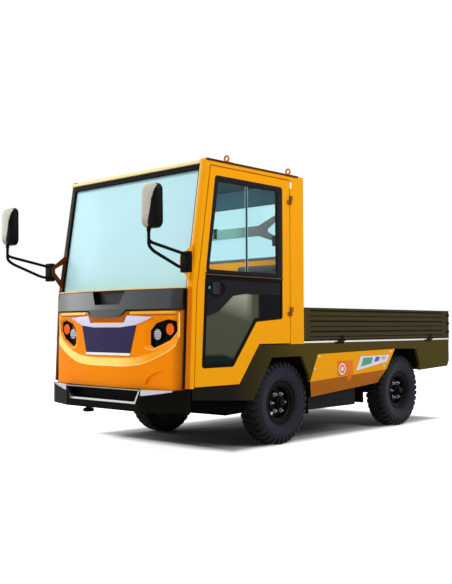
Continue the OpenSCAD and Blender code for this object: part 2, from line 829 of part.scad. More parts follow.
// Door hinges: barrels behind each other on one vertical axis, with a leaf on each side
hinge_zs = [skirt_top_z + 262, roof_z - 208];
hinge_x = body_half + 11;
hinge_y = door_rear_y - door_gap / 2;
hinge_len = 36;
leaf_len = 34;
module door_hinge(fixed) {
  for (z = hinge_zs)
    translate([0, 0, fixed ? z + run_gap : z - hinge_len]) {
      translate([hinge_x, hinge_y, 0]) cylinder(d = 20, h = hinge_len - run_gap, $fn = 24);
      translate([body_half, fixed ? door_rear_y : hinge_y - leaf_len - 4, 0])
        cube([4, leaf_len, hinge_len - run_gap]);
      translate([body_half + 1, fixed ? hinge_y : hinge_y - 8, 0])
        cube([3, 8, hinge_len - run_gap]);
    }
}

// Cab floor: footwell, slanted riser over the front axle and seat platform
floor_t = 18;
floor_half = cab_in_x - door_gap;
platform_z = skirt_top_z + 3;
module cab_floor() {
  placed() color([0.3, 0.33, 0.3])
    side_sheet(-floor_half, floor_half)
      polygon([
        [bulkhead_y + bulkhead_t, rail_top_z], [bulkhead_y + bulkhead_t, rail_top_z + floor_t],
        [-570, rail_top_z + floor_t], [-345, platform_z + floor_t],
        [rear_wall_in_y, platform_z + floor_t], [rear_wall_in_y, platform_z],
        [-334, platform_z], [-560, rail_top_z]
      ]);
}

module roof_panel() {
  placed() color([0.93, 0.6, 0.03])
    side_sheet(-cab_in_x, cab_in_x)
      polygon([
        [header_back_y, roof_z - 6], [rear_wall_in_y, roof_z - 6],
        [rear_wall_in_y, roof_z - 32], [header_back_y, roof_z - 32]
      ]);
}

module windscreen() {
  glass_t = 8;
  set_back = 20;
  low = shelf_z + shelf_t;
  placed() color([0.75, 0.93, 0.96, 0.6])
    side_sheet(-body_half + pillar_w, body_half - pillar_w)
      polygon([
        [pillar_y(low) + set_back, low], [pillar_y(glass_top_z) + set_back, glass_top_z],
        [pillar_y(glass_top_z) + set_back + glass_t, glass_top_z],
        [pillar_y(low) + set_back + glass_t, low]
      ]);
}

module rear_window() {
  placed() color([0.75, 0.93, 0.96, 0.6])
    front_slab(rear_wall_in_y + 14, rear_wall_in_y + 20) rear_window_outline();
}

// Grey brace inside the rear window, forked at both ends
brace_z = (window_low_z + window_top_z) / 2 + 1;
module window_brace() {
  end_x = window_half;
  placed() color([0.42, 0.44, 0.45])
    both_sides() {
      front_slab(rear_wall_in_y - 34, rear_wall_in_y - 22)
        polygon([
          [-eps, brace_z - 44], [end_x - 226, brace_z - 44], [end_x - 55, brace_z - 100],
          [end_x + 10, brace_z - 100], [end_x + 10, brace_z - 62], [end_x - 40, brace_z - 62],
          [end_x - 130, brace_z - 14], [end_x - 130, brace_z + 10], [end_x, brace_z + 88],
          [end_x + 40, brace_z + 100], [end_x + 40, brace_z + 144], [end_x - 20, brace_z + 126],
          [end_x - 226, brace_z + 44], [-eps, brace_z + 44]
        ]);
      translate([end_x + 2, rear_wall_in_y - 30, brace_z - 100]) cube([8, 30, 38]);
      translate([end_x + 20, rear_wall_in_y - 30, brace_z + 100]) cube([20, 30, 36]);
    }
}

module dashboard() {
  dash_half = body_half - pillar_w - 4;
  back = bulkhead_y + bulkhead_t;
  placed() color([0.12, 0.12, 0.13])
    side_sheet(-dash_half, dash_half)
      polygon([
        [back, shelf_z - 218], [back, shelf_z - 2], [back + 70, shelf_z],
        [back + 150, shelf_z - 36], [back + 180, shelf_z - 108], [back + 120, shelf_z - 218]
      ]);
}

// Steering wheel on its column, on the left
wheel_centre = [380, bulkhead_y + 315, shelf_z - 78];
wheel_lean = 32;
wheel_rim_r = 195;
wheel_grip_r = 14;
module steering_wheel() {
  column_r = 24;
  reach = wheel_centre[1] - bulkhead_y - bulkhead_t;
  column_len = (reach - column_r * cos(wheel_lean)) / sin(wheel_lean);
  placed() color([0.06, 0.06, 0.06])
    translate(wheel_centre)
      rotate([-wheel_lean, 0, 0]) {
        rotate_extrude($fn = 64) translate([wheel_rim_r, 0]) circle(r = wheel_grip_r, $fn = 24);
        for (a = [90, 210, 330])
          rotate([0, 0, a]) translate([0, -14, -8]) cube([wheel_rim_r, 28, 14]);
        translate([0, 0, -34]) cylinder(r = 46, h = 44);
        translate([0, 0, -column_len]) cylinder(r = column_r, h = column_len);
      }
}

// Seats: two alike, each a steel tray with a back plate, a cushion and a back pad
seat_x = 390;
seat_w = 500;
seat_front_y = -320;
back_plate_t = 18;
back_pad_t = 88;
tray_h = 28;
back_top_z = platform_z + 605;
back_plate_y = rear_wall_in_y - 4 - back_plate_t;
module seat_bases() {
  placed() color([0.1, 0.1, 0.1])
    for (side = [-1, 1])
      translate([side * seat_x - seat_w / 2 + 20, 0, platform_z + floor_t])
        union() {
          translate([0, seat_front_y + 24, 0])
            cube([seat_w - 40, back_plate_y + back_plate_t - seat_front_y - 24, tray_h]);
          translate([0, back_plate_y, 0])
            cube([seat_w - 40, back_plate_t, back_top_z - 40 - platform_z - floor_t]);
        }
}

module soft_block(size, r) {
  translate([size[0] / 2, 0, 0])
    rotate([0, -90, 0])
      linear_extrude(size[0], center = true)
        polygon(rounded([[0, 0], [size[2], 0], [size[2], size[1]], [0, size[1]]], r, 4));
}

module seat_cushion(side) {
  placed() color([0.13, 0.13, 0.14])
    translate([side * seat_x - seat_w / 2, seat_front_y, platform_z + floor_t + tray_h + run_gap])
      soft_block([seat_w, back_plate_y - back_pad_t - 3 - seat_front_y, 110], 28);
}
module seat_cushion_left() { seat_cushion(1); }
module seat_cushion_right() { seat_cushion(-1); }

module seat_back(side) {
  low = platform_z + floor_t + tray_h + run_gap;
  placed() color([0.13, 0.13, 0.14])
    translate([side * seat_x - seat_w / 2, back_plate_y - back_pad_t - run_gap, low])
      soft_block([seat_w, back_pad_t, back_top_z - low], 28);
}
module seat_back_left() { seat_back(1); }
module seat_back_right() { seat_back(-1); }

// Doors: hinged at their rear edge, with an upper and a lower pane

door_low_z = sill_z + 9;
door_step_z = skirt_top_z + 8;
door_outline = [
  [foot_y + pillar_d + door_gap, door_low_z], [waist_y + pillar_d + door_gap, waist_z],
  [pillar_y(door_top_z) + pillar_d + door_gap, door_top_z - door_gap],
  [door_rear_y - door_gap, door_top_z - door_gap], [door_rear_y - door_gap, door_step_z],
  [door_cut_high[0] - 4, door_step_z], [door_cut_low[0] - 4, door_low_z]
];
door_back_y = door_rear_y - door_gap;
pane_top_z = roof_z - 113;
pane_split_z = waist_z + 118;
upper_pane = [
  [pillar_y(pane_top_z) + pillar_d + 65, pane_top_z], [door_back_y - 90, pane_top_z],
  [door_back_y - 90, pane_split_z + 12],
  [pillar_y(pane_split_z + 12) + pillar_d + 74, pane_split_z + 12]
];
lower_pane = [
  [pillar_y(pane_split_z - 12) + pillar_d + 72, pane_split_z - 12],
  [door_back_y - 94, pane_split_z - 12], [door_back_y - 94, skirt_top_z + 202],
  [door_cut_high[0] - 36, skirt_top_z + 179], [door_cut_low[0] - 70, sill_z + 142],
  [pillar_y(sill_z + 140) + pillar_d + 74, sill_z + 140]
];
pane_r = 26;
pane_t = 6;

module door() {
  color([0.95, 0.64, 0.03]) {
    side_sheet(cab_in_x, body_half)
      difference() {
        polygon(door_outline);
        polygon(rounded(upper_pane, pane_r));
        polygon(rounded(lower_pane, pane_r));
      }
    door_hinge(false);
  }
}

module door_glass() {
  color([0.55, 0.7, 0.72, 0.6]) {
    side_sheet(body_half - 14, body_half - 14 + pane_t) polygon(rounded(upper_pane, pane_r));
    side_sheet(body_half - 10, body_half - 10 + pane_t) polygon(rounded(lower_pane, pane_r));
  }
}

module door_left() { placed() door(); }
module door_right() { placed() mirror([1, 0, 0]) door(); }
module door_glass_left() { placed() door_glass(); }
module door_glass_right() { placed() mirror([1, 0, 0]) door_glass(); }

// Front: the bulged orange fascia with its recessed face, lamps, plate, grey cowl and bumper

recess_d = 14;
corner_r = 55;
notch_d = 22;
plate_t = 6;
housing_d = 24;
lamp_front = 36;
// Points of an outline whose half is given as [distance from the fascia's side, height]
function half_points(pts, base) = [for (p = pts) [fascia_half - p[0], base + p[1]]];
// An outline and its mirror image, joined in one ring
function mirror_ring(pts) = concat(pts, [for (i = [1 : len(pts)])
  [-pts[len(pts) - i][0], pts[len(pts) - i][1]]]);
smile_r = 120;
smile = rounded(mirror_ring(half_points([
  [-4, 720], [-4, 405], [42, 350], [102, 306], [312, 208], [fascia_half - 200, 169]
], fascia_low_z)), smile_r, 5);
notch = mirror_ring([[246, fascia_top_z + eps], [204, fascia_top_z - 79]]);
tab = mirror_ring([[232, fascia_top_z + 16], [148, fascia_top_z - 46]]);
lamp_hole = rounded(half_points([
  [290, -147], [237, -92], [129, -64], [58, -78], [52, -150], [110, -211], [258, -272], [290, -250]
], fascia_top_z), 12, 3);
plate_outline = mirror_ring([[325, fascia_top_z - 106], [261, fascia_top_z - 317]]);
// Scoop low in each corner: it is deep at its inner end and runs out to the face at its outer end
scoop_lean = 3.6;
scoop = rounded(half_points([
  [317, 30], [312, 60], [272, 97], [222, 120], [172, 132], [102, 138], [102, 30]
], fascia_low_z), 9, 3);

// Cutter that rounds the upright corner where the nose meets the fascia's side
module nose_corner(half, r, z0, z1) {
  cx = half - r;
  cy = nose_r - nose_ahead - sqrt((nose_r - r) * (nose_r - r) - cx * cx);
  tip = [cx, cy - nose_r + nose_ahead] * nose_r / (nose_r - r) + [0, nose_r - nose_ahead];
  translate([0, 0, z0 - eps])
    linear_extrude(z1 - z0 + 2 * eps)
      difference() {
        polygon([[cx, cy], tip, tip + [0, -20], [half + eps, tip[1] - 20], [half + eps, cy]]);
        translate([cx, cy]) circle(r = r, $fn = 64);
      }
}

// Wedge between the scoop's leaning floor and the nose's curve
module fascia_scoop() {
  end_x = fascia_half - 102;
  end_y = nose_r - nose_ahead - sqrt(nose_r * nose_r - end_x * end_x);
  intersection() {
    front_slab(-nose_ahead - 20, bulkhead_y) polygon(scoop);
    difference() {
      translate([0, -nose_ahead - 20, fascia_low_z - 10]) cube([body_half, nose_ahead, fascia_top_z]);
      translate([end_x, end_y, 0])
        rotate([0, 0, -scoop_lean])
          translate([-end_x, -end_y, 0])
            nose_solid(0, body_half + 60, fascia_low_z - 20, fascia_top_z + 20, 0);
    }
  }
}

module fascia() {
  placed() color([0.93, 0.5, 0.02])
    difference() {
      nose_solid(0, fascia_half, fascia_low_z, fascia_top_z);
      nose_solid(fascia_t, fascia_half - fascia_t, fascia_low_z - eps, fascia_top_z - 14,
        bulkhead_y + eps);
      both_sides() nose_corner(fascia_half, corner_r, fascia_low_z, fascia_top_z);
      intersection() {
        front_slab(-nose_ahead - 20, bulkhead_y) polygon(smile);
        difference() {
          translate([-body_half, -nose_ahead - 20, fascia_low_z - 10])
            cube([body_w, nose_ahead, fascia_top_z]);
          nose_solid(recess_d, body_half, fascia_low_z - 20, fascia_top_z + 20, 0);
        }
      }
      intersection() {
        front_slab(-nose_ahead - 20, bulkhead_y) polygon(notch);
        difference() {
          translate([-body_half, -nose_ahead - 20, fascia_low_z - 10])
            cube([body_w, nose_ahead, fascia_top_z]);
          nose_solid(notch_d, body_half, fascia_low_z - 20, fascia_top_z + 20, 0);
        }
      }
      both_sides() {
        front_slab(-nose_ahead - 20, bulkhead_y - eps) polygon(lamp_hole);
        fascia_scoop();
      }
    }
}

module front_plate() {
  placed() color([0.2, 0.19, 0.32])
    intersection() {
      front_slab(-nose_ahead - 20, bulkhead_y) polygon(plate_outline);
      difference() {
        nose_solid(recess_d - plate_t, body_half, fascia_low_z + 200, fascia_top_z - 72);
        nose_solid(recess_d, body_half, fascia_low_z + 190, fascia_top_z - 62, 0);
      }
    }
}

housing_box = half_points([[318, -292], [34, -292], [34, -42], [318, -42]], fascia_top_z);
module lamp_housings() {
  placed() color([0.05, 0.05, 0.05])
    both_sides()
      difference() {
        intersection() {
          front_slab(-nose_ahead, bulkhead_y) polygon(housing_box);
          difference() {
            nose_solid(fascia_t + run_gap, body_half, fascia_low_z + 200, fascia_top_z - 22, 0);
            nose_solid(fascia_t + housing_d + 10, body_half, fascia_low_z + 190,
              fascia_top_z - 12, 1);
          }
        }
        intersection() {
          front_slab(-nose_ahead, bulkhead_y) polygon(lamp_hole);
          difference() {
            nose_solid(fascia_t - eps, body_half, fascia_low_z + 200, fascia_top_z - 22, 0);
            nose_solid(fascia_t + housing_d, body_half, fascia_low_z + 190, fascia_top_z - 12, 1);
          }
        }
      }
}

// Round lamp whose lens is set back from the nose's curve
module lamp(x, z, d) {
  depth = fascia_t + housing_d - lamp_front - run_gap;
  turn = asin(x / (nose_r - lamp_front));
  translate([x, nose_r - nose_ahead - (nose_r - lamp_front) * cos(turn), z])
    rotate([0, 0, turn])
      rotate([-90, 0, 0]) {
        cylinder(d = d, h = depth);
        translate([0, 0, -6]) cylinder(d1 = d - 26, d2 = d - 8, h = 6);
      }
}

module clear_lamps() {
  placed() color([0.9, 0.92, 0.95]) both_sides() lamp(fascia_half - 233, fascia_top_z - 174, 92);
}
module amber_lamps() {
  placed() color([0.95, 0.35, 0.05]) both_sides() lamp(fascia_half - 121, fascia_top_z - 135, 100);
}

cowl_low_z = fascia_top_z + 12;
cowl_lean = 9;
cowl_scoop = mirror_ring([[197, shelf_z + eps], [147, cowl_low_z + 41]]);
module cowl() {
  placed() color([0.36, 0.39, 0.42]) {
    difference() {
      intersection() {
        translate([0, -nose_ahead, cowl_low_z])
          rotate([-cowl_lean, 0, 0])
            translate([0, nose_ahead, 0])
              nose_solid(0, fascia_half, -20, shelf_z - cowl_low_z + 46, bulkhead_y + 90);
        translate([-body_half, -nose_ahead - 40, cowl_low_z])
          cube([body_w, nose_ahead + 40 + bulkhead_y, shelf_z - cowl_low_z]);
      }
      front_slab(-nose_ahead - 40, -nose_ahead + 70) polygon(cowl_scoop);
      both_sides() nose_corner(fascia_half, corner_r - 20, cowl_low_z, shelf_z);
    }
    intersection() {
      front_slab(-nose_ahead - 20, bulkhead_y) polygon(tab);
      difference() {
        nose_solid(0, body_half, fascia_top_z - 72, cowl_low_z + 8);
        nose_solid(notch_d - run_gap, body_half, fascia_top_z - 82, cowl_low_z + 20, 0);
      }
    }
  }
}

bumper_top_z = fascia_low_z - 4;
bumper_low_z = bumper_top_z - 160;
bumper_back_y = foot_y + 22;
module front_bumper() {
  placed() color([0.05, 0.05, 0.05]) {
    difference() {
      translate([0, 0, bumper_low_z])
        linear_extrude(bumper_top_z - bumper_low_z)
          polygon(mirror_ring([
            [body_half - 5, bumper_back_y], [body_half - 5, foot_y - 6],
            [body_half - 94, foot_y - 58], [440, -bumper_ahead]
          ]));
      front_slab(-bumper_ahead - eps, -bumper_ahead + 60)
        polygon(mirror_ring([[436, bumper_top_z - 14], [388, bumper_low_z + 58]]));
    }
    translate([-290, 102 - bumper_ahead, bumper_low_z - 26]) cylinder(d = 44, h = 26);
    translate([-290, 102 - bumper_ahead, bumper_low_z - 38]) cylinder(d = 78, h = 16);
  }
}

// Mirrors: each head on an upright tube, carried by two tubes from the clamp

arm_d = 24;
stem = [mirror_x - 4, -mirror_ahead + 52];
head_low_z = mirror_z - mirror_h / 2;
// Upper tube, from the stem to the clamp; the lower one runs on from the stem's own bend
upper_path = [
  [stem[0], stem[1] + 4, head_low_z - 83], [stem[0] - 4, stem[1] + 30, head_low_z - 95],
  [bracket_x + 68, clamp_y + 6, clamp_z + 46]
];
lower_path = [
  [stem[0], stem[1], head_low_z], [stem[0], stem[1], head_low_z - 103],
  [stem[0] - 1, stem[1] + 7, head_low_z - 120], [stem[0] - 6, stem[1] + 50, head_low_z - 153],
  [stem[0] - 26, stem[1] + 310, clamp_z - 39], [bracket_x + 64, clamp_y + 6, clamp_z - 48]
];

// Round tube along the points, with a slightly fuller ball in each bend
module tube_path(pts, d) {
  for (i = [0 : len(pts) - 2]) {
    v = pts[i + 1] - pts[i];
    translate(pts[i]) {
      rotate([0, acos(v[2] / norm(v)), atan2(v[1], v[0])]) cylinder(d = d, h = norm(v), $fn = 24);
      if (i > 0) sphere(d = d + 1.4, $fn = 24);
    }
  }
}

module mirror_arms() {
  placed() color([0.05, 0.05, 0.05])
    both_sides() {
      translate([bracket_x + bracket_t, clamp_y - 20, clamp_z - 74]) cube([80, 40, 148]);
      tube_path(upper_path, arm_d);
      tube_path(lower_path, arm_d);
      translate([stem[0], stem[1], head_low_z - 22]) cylinder(d = arm_d + 6, h = 20);
    }
}

// Sections of a mirror head as [distance behind its front, width left of the whole]
head_t = 72;
head_sections = [[0, 0.52], [10, 0.8], [24, 0.93], [head_t - 32, 0.996], [head_t - 1, 1]];

// Outline of a head, drawn in by an amount on all sides
function head_outline(inset) = [for (p = rounded([
  [-mirror_w / 2 + inset, -mirror_h / 2 + inset], [mirror_w / 2 - inset, -mirror_h / 2 + inset],
  [mirror_w / 2 - inset - 6, mirror_h / 2 - inset], [-mirror_w / 2 + inset + 6, mirror_h / 2 - inset]
], 48 - inset, 6)) [mirror_x + p[0], mirror_z + p[1]]];

module mirror_heads() {
  placed() color([0.07, 0.07, 0.08])
    both_sides()
      difference() {
        hull()
          for (h = head_sections)
            front_slab(-mirror_ahead + h[0], -mirror_ahead + h[0] + 1)
              polygon(head_outline((1 - h[1]) * mirror_w / 2));
        front_slab(-mirror_ahead + head_t - 6, -mirror_ahead + head_t + eps)
          polygon(head_outline(9));
      }
}

// Lifting eyes on the roof rails
eye_ys = [-690, 45];
eye_r = 21;
eye_wire = 7;
eye_x = body_half - 20;
module lifting_eyes() {
  placed() color([0.72, 0.36, 0.08])
    both_sides()
      for (y = eye_ys)
        translate([eye_x, y, roof_z]) {
          cylinder(d = 38, h = 10);
          translate([0, 0, 10 + eye_r])
            rotate([90, 0, 0])
              rotate_extrude() translate([eye_r, 0]) circle(r = eye_wire, $fn = 16);
        }
}

// Bed: bearers on the rails, deck plate, posts with the headboard, two dropsides and a tailgate

bearer_ys = [
  cab_rear_y + 41, 590, 930, wheel_base - 540, wheel_base - 170, wheel_base + 220,
  bed_rear_y - 310, bed_rear_y - 80
];
bearer_h = 70;
bearer_w = 50;
module bed_frame() {
  placed() color([0.08, 0.08, 0.08])
    for (y = bearer_ys) {
      translate([-skirt_in_x, y, skirt_top_z - bearer_h])
        difference() {
          cube([2 * skirt_in_x, bearer_w, bearer_h]);
          translate([-eps, 6, 6]) cube([2 * skirt_in_x + 2 * eps, bearer_w, bearer_h - 12]);
        }
      both_sides() bed_post_under(y);
    }
}

// Height of the rail's top at y
function rail_top_at(y) = y < kink_front_y ? rail_top_z : rear_rail_top_z;

module bed_post_under(y) {
  skewed = y + bearer_w > kink_front_y && y < kink_rear_y;
  if (!skewed)
    translate([rail_x - 28, y, rail_top_at(y)])
      cube([56, bearer_w, skirt_top_z - bearer_h - rail_top_at(y)]);
}

module deck() {
  placed() color([0.55, 0.56, 0.56]) {
    translate([-body_half, cab_rear_y + 2, skirt_top_z])
      cube([body_w, bed_rear_y - cab_rear_y - 2, deck_t]);
    both_sides()
      for (y = side_hinge_ys)
        translate([bed_hinge_x, y, bed_hinge_z]) rotate([0, 0, -90]) bed_hinge_half(true);
    for (x = tail_hinge_xs)
      translate([x + 44, tail_hinge_y, bed_hinge_z]) bed_hinge_half(true);
  }
}

headboard_y = cab_rear_y + 3;
headboard_t = 26;
side_low_z = deck_z + 8;
side_top_z = side_low_z + side_h;
side_front_y = cab_rear_y + 7;
post_front_y = bed_rear_y - post_w;
side_rear_y = post_front_y - 6;
module bed_posts() {
  placed() color([0.3, 0.28, 0.12]) {
    translate([-body_half + side_t + 6, headboard_y, deck_z])
      cube([body_w - 2 * side_t - 12, headboard_t, side_top_z - deck_z]);
    both_sides() {
      translate([body_half - post_w, post_front_y, deck_z])
        cube([post_w, post_w, side_top_z - deck_z]);
      for (z = [side_top_z - 214, side_top_z - 130, side_top_z - 46])
        translate([body_half, post_front_y + 8, z - 12]) cube([12, 30, 24]);
    }
  }
}

// Grooves of a dropside: narrow and wide ones by turns, evenly spaced up to its top edge
groove_count = 6;
groove_margin = 25;
groove_step = (side_h - 2 * groove_margin) / (groove_count - 1);
groove_w = [8, 14];
groove_d = 7;
end_frame = 78;
bed_hinge_z = deck_z - 3;
bed_hinge_x = body_half + 10;
side_hinge_ys = [side_front_y + 509, side_rear_y - 352];

// Board of the given length along +X, with its outer face at y = side_t and grooves in it
module ribbed_board(len) {
  difference() {
    cube([len, side_t, side_h]);
    for (i = [0 : groove_count - 1])
      translate([end_frame, side_t - groove_d, groove_margin + i * groove_step - groove_w[i % 2] / 2])
        cube([len - 2 * end_frame, groove_d + eps, groove_w[i % 2]]);
  }
}

// Hinge half: a barrel along X with a leaf, at the origin of the hinge's axis
module bed_hinge_half(fixed) {
  barrel_len = 44;
  translate([fixed ? run_gap : -barrel_len, 0, 0]) {
    rotate([0, 90, 0]) cylinder(d = barrel_d, h = barrel_len - run_gap, $fn = 24);
    translate([0, -10, fixed ? -16 : 0]) cube([barrel_len - run_gap, 4, 16]);
    if (!fixed) translate([0, -10, 0]) cube([barrel_len - run_gap, 4, 44]);
  }
}

module dropside() {
  color([0.3, 0.28, 0.12]) {
    translate([body_half - side_t, side_rear_y, side_low_z])
      rotate([0, 0, -90]) ribbed_board(side_rear_y - side_front_y);
    for (y = side_hinge_ys)
      translate([bed_hinge_x, y, bed_hinge_z]) rotate([0, 0, -90]) bed_hinge_half(false);
  }
}

module dropside_left() { placed() dropside(); }
module dropside_right() { placed() mirror([1, 0, 0]) dropside(); }

tail_half = body_half - post_w - 6;
tail_hinge_y = bed_rear_y + 10;
tail_hinge_xs = [-500, 456];
module tailgate() {
  placed() color([0.3, 0.28, 0.12]) {
    translate([-tail_half, bed_rear_y - side_t, side_low_z]) ribbed_board(2 * tail_half);
    for (x = tail_hinge_xs)
      translate([x + 44, tail_hinge_y, bed_hinge_z]) bed_hinge_half(false);
  }
}

// Towing jaw under the rear of the deck
coupling_pin_d = 32;
coupling_z = 470;
module rear_coupling() {
  jaw_half = 58;
  placed() color([0.09, 0.09, 0.1])
    difference() {
      union() {
        translate([-100, rail_rear_y, coupling_z - 60])
          cube([200, 20, rear_rail_top_z - coupling_z + 50]);
        translate([-jaw_half, rail_rear_y + 20, coupling_z - 45])
          cube([2 * jaw_half, rear_reach - jaw_half - rail_rear_y - 20, 90]);
        translate([0, rear_reach - jaw_half, coupling_z - 45]) cylinder(r = jaw_half, h = 90);
      }
      translate([-jaw_half - eps, rail_rear_y + 56, coupling_z - 22]) cube([2 * jaw_half + 2 * eps, 200, 44]);
      translate([0, rear_reach - jaw_half, coupling_z - 50]) cylinder(d = coupling_pin_d, h = 100);
    }
}

module rear_lamps() {
  placed() color([0.7, 0.05, 0.04])
    both_sides()
      translate([skirt_in_x - 220, bed_rear_y - 80 + bearer_w, skirt_top_z - bearer_h + 2]) cube([150, 24, 56]);
}

chassis_frame();
front_axle();
rear_axle();
drive_motor();
leaf_springs();
knuckle_left();
knuckle_right();
track_rod();
tyre_front_left();
tyre_front_right();
tyre_rear_left();
tyre_rear_right();
rim_front_left();
rim_front_right();
rim_rear_left();
rim_rear_right();
batteries();
battery_panels();
charge_cover();
skirts();
arch_liners();
sill_aprons();
cab_frame();
cab_floor();
roof_panel();
windscreen();
rear_window();
window_brace();
dashboard();
steering_wheel();
seat_bases();
seat_cushion_left();
seat_cushion_right();
seat_back_left();
seat_back_right();
door_left();
door_right();
door_glass_left();
door_glass_right();
fascia();
front_plate();
cowl();
lamp_housings();
clear_lamps();
amber_lamps();
front_bumper();
mirror_arms();
mirror_heads();
lifting_eyes();
deck();
bed_frame();
bed_posts();
dropside_left();
dropside_right();
tailgate();
rear_coupling();
rear_lamps();
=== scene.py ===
import math
import bpy
from mathutils import Euler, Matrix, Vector


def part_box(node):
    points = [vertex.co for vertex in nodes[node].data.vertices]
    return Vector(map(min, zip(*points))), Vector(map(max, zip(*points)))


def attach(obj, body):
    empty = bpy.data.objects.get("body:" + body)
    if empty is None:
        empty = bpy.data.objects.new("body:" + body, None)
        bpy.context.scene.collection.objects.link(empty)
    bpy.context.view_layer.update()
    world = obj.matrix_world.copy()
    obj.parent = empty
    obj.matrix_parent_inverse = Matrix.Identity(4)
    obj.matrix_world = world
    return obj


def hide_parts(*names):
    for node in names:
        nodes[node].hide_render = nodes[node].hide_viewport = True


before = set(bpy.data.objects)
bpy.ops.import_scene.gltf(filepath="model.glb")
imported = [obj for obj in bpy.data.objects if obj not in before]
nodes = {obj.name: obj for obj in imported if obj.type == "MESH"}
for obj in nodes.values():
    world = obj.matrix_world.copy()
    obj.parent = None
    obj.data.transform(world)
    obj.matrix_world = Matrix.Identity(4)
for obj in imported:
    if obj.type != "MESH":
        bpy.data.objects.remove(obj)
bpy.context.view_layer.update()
axleY = -0.582  # the front axle, seen from the middle of the vehicle
wheelBase = 1.79
noseR = 3.27  # radius of the front's bulge, seen from above
noseTip = axleY - 1.215
bothSides = ((1, "Left"), (-1, "Right"))
print("frame loaded")


# camera and lamps

view = {
    "eye": (5.0607, -5.8605, 0.9525), "turn": 43.045, "rise": 2.388, "roll": -0.153,
    "lens": 51.597, "sensor": 36, "far": 100,
}
aim = Euler((math.radians(90 + view["rise"]), 0, math.radians(view["turn"])), "XYZ")
bpy.ops.object.camera_add(location=view["eye"], rotation=aim)
camera = bpy.context.object
camera.data.lens = view["lens"]
camera.data.sensor_width = view["sensor"]
camera.data.clip_end = view["far"]
camera.rotation_euler.rotate_axis("Z", math.radians(view["roll"]))
bpy.context.scene.camera = camera
bpy.context.scene.view_settings.view_transform = "Standard"

lamps = {
    "keyLamp": {"place": (5.5, -0.5, 5.0), "aim": (0, 0, 0.8), "size": 4.0, "power": 215},
    "frontLamp": {"place": (-2.0, -6.2, 6.5), "aim": (0, -1, 0.9), "size": 3.5, "power": 290},
    "leftLamp": {"place": (-6.5, -4.2, 3.3), "aim": (-0.6, -1.5, 1.0), "size": 3.0, "power": 110},
    "rearLamp": {"place": (-2.5, 5.5, 4.5), "aim": (0, 0.5, 0.8), "size": 4.0, "power": 120},
    "cabLamp": {"place": (0.0, -1.12, 1.97), "aim": (0, -0.6, 1.3), "size": 0.4, "power": 8},
}
for name, lamp in lamps.items():
    bpy.ops.object.light_add(type="AREA", location=lamp["place"])
    light = bpy.context.object
    light.name = name
    light.data.shape = "DISK"
    light.data.size = lamp["size"]
    light.data.energy = lamp["power"]
    light.rotation_euler = (Vector(lamp["aim"]) - Vector(lamp["place"])).to_track_quat("-Z", "Y").to_euler()
    light.visible_camera = light.visible_transmission = False  # no lamp is seen, not through a pane either


# shader nodes and groups

def feed(tree, node, inputs):  # gives each input its value, or a link where a socket is given
    for name, value in inputs.items():
        if isinstance(value, bpy.types.NodeSocket):
            tree.links.new(value, node.inputs[name])
        else:
            node.inputs[name].default_value = value
    return node


def part(tree, kind, inputs={}, **settings):  # a shader node with its settings and inputs
    made = tree.nodes.new("ShaderNode" + kind)
    for name, value in settings.items():
        setattr(made, name, value)
    return feed(tree, made, inputs)


def maths(tree, operation, *values, clamp=False):
    return part(tree, "Math", dict(enumerate(values)), operation=operation, use_clamp=clamp).outputs[0]


def ramp(tree, value, low, high, start=0.0, end=1.0):  # from start to end as a value goes from low to high
    limits = {"Value": value, "From Min": low, "From Max": high, "To Min": start, "To Max": end}
    return part(tree, "MapRange", limits).outputs["Result"]


def blendOf(tree, mask, base, over):
    return part(tree, "Mix", {"Factor": mask, "A": base, "B": over}, data_type="RGBA").outputs["Result"]


def objectPlace(tree):
    return part(tree, "TexCoord").outputs["Object"]


def along(tree, direction):  # how far a point of the object lies in a direction
    place = objectPlace(tree)
    return part(tree, "VectorMath", {0: place, 1: direction}, operation="DOT_PRODUCT").outputs["Value"]


def newGroup(name, inputs, outputs):  # an input's kind follows from its first value
    group = bpy.data.node_groups.new(name, "ShaderNodeTree")
    for title, value in inputs.items():
        kind = "Float" if isinstance(value, float) else {3: "Vector", 4: "Color"}[len(value)]
        entry = group.interface.new_socket(name=title, in_out="INPUT", socket_type="NodeSocket" + kind)
        entry.default_value = value
    for title, kind in outputs.items():
        group.interface.new_socket(name=title, in_out="OUTPUT", socket_type="NodeSocket" + kind)
    return group, group.nodes.new("NodeGroupInput").outputs, group.nodes.new("NodeGroupOutput")


def makeGrain():  # fine bump and uneven gloss
    group, given, end = newGroup(
        "surfaceGrain", {"Scale": 200.0, "Depth": 0.1, "Roughness": 0.4, "Vary": 0.06},
        {"Roughness": "Float", "Normal": "Vector"})
    place = objectPlace(group)
    fine = part(group, "TexNoise", {"Vector": place, "Scale": given["Scale"], "Detail": 3}).outputs["Fac"]
    broad = part(group, "TexNoise", {"Vector": place, "Scale": 5, "Detail": 4}).outputs["Fac"]
    bump = part(group, "Bump", {"Strength": given["Depth"], "Distance": 0.001, "Height": fine})
    centred = maths(group, "SUBTRACT", broad, 0.5)
    varied = maths(group, "MULTIPLY_ADD", centred, given["Vary"], given["Roughness"])
    feed(group, end, {"Roughness": varied, "Normal": bump.outputs["Normal"]})
    return group


def makeDust():  # pale dust that gathers low down and fades with height
    group, given, end = newGroup(
        "roadDust", {"Color": (0.5, 0.5, 0.5, 1), "Dust": (0.2, 0.18, 0.15, 1), "Amount": 0.2, "Top": 0.6},
        {"Color": "Color"})
    place = objectPlace(group)
    height = part(group, "SeparateXYZ", {0: place}).outputs["Z"]
    cloud = part(group, "TexNoise", {"Vector": place, "Scale": 9, "Detail": 6}).outputs["Fac"]
    patch = maths(group, "MULTIPLY", ramp(group, height, given["Top"], 0.0), cloud)
    level = maths(group, "MULTIPLY", patch, given["Amount"])
    feed(group, end, {"Color": blendOf(group, level, given["Color"], given["Dust"])})
    return group


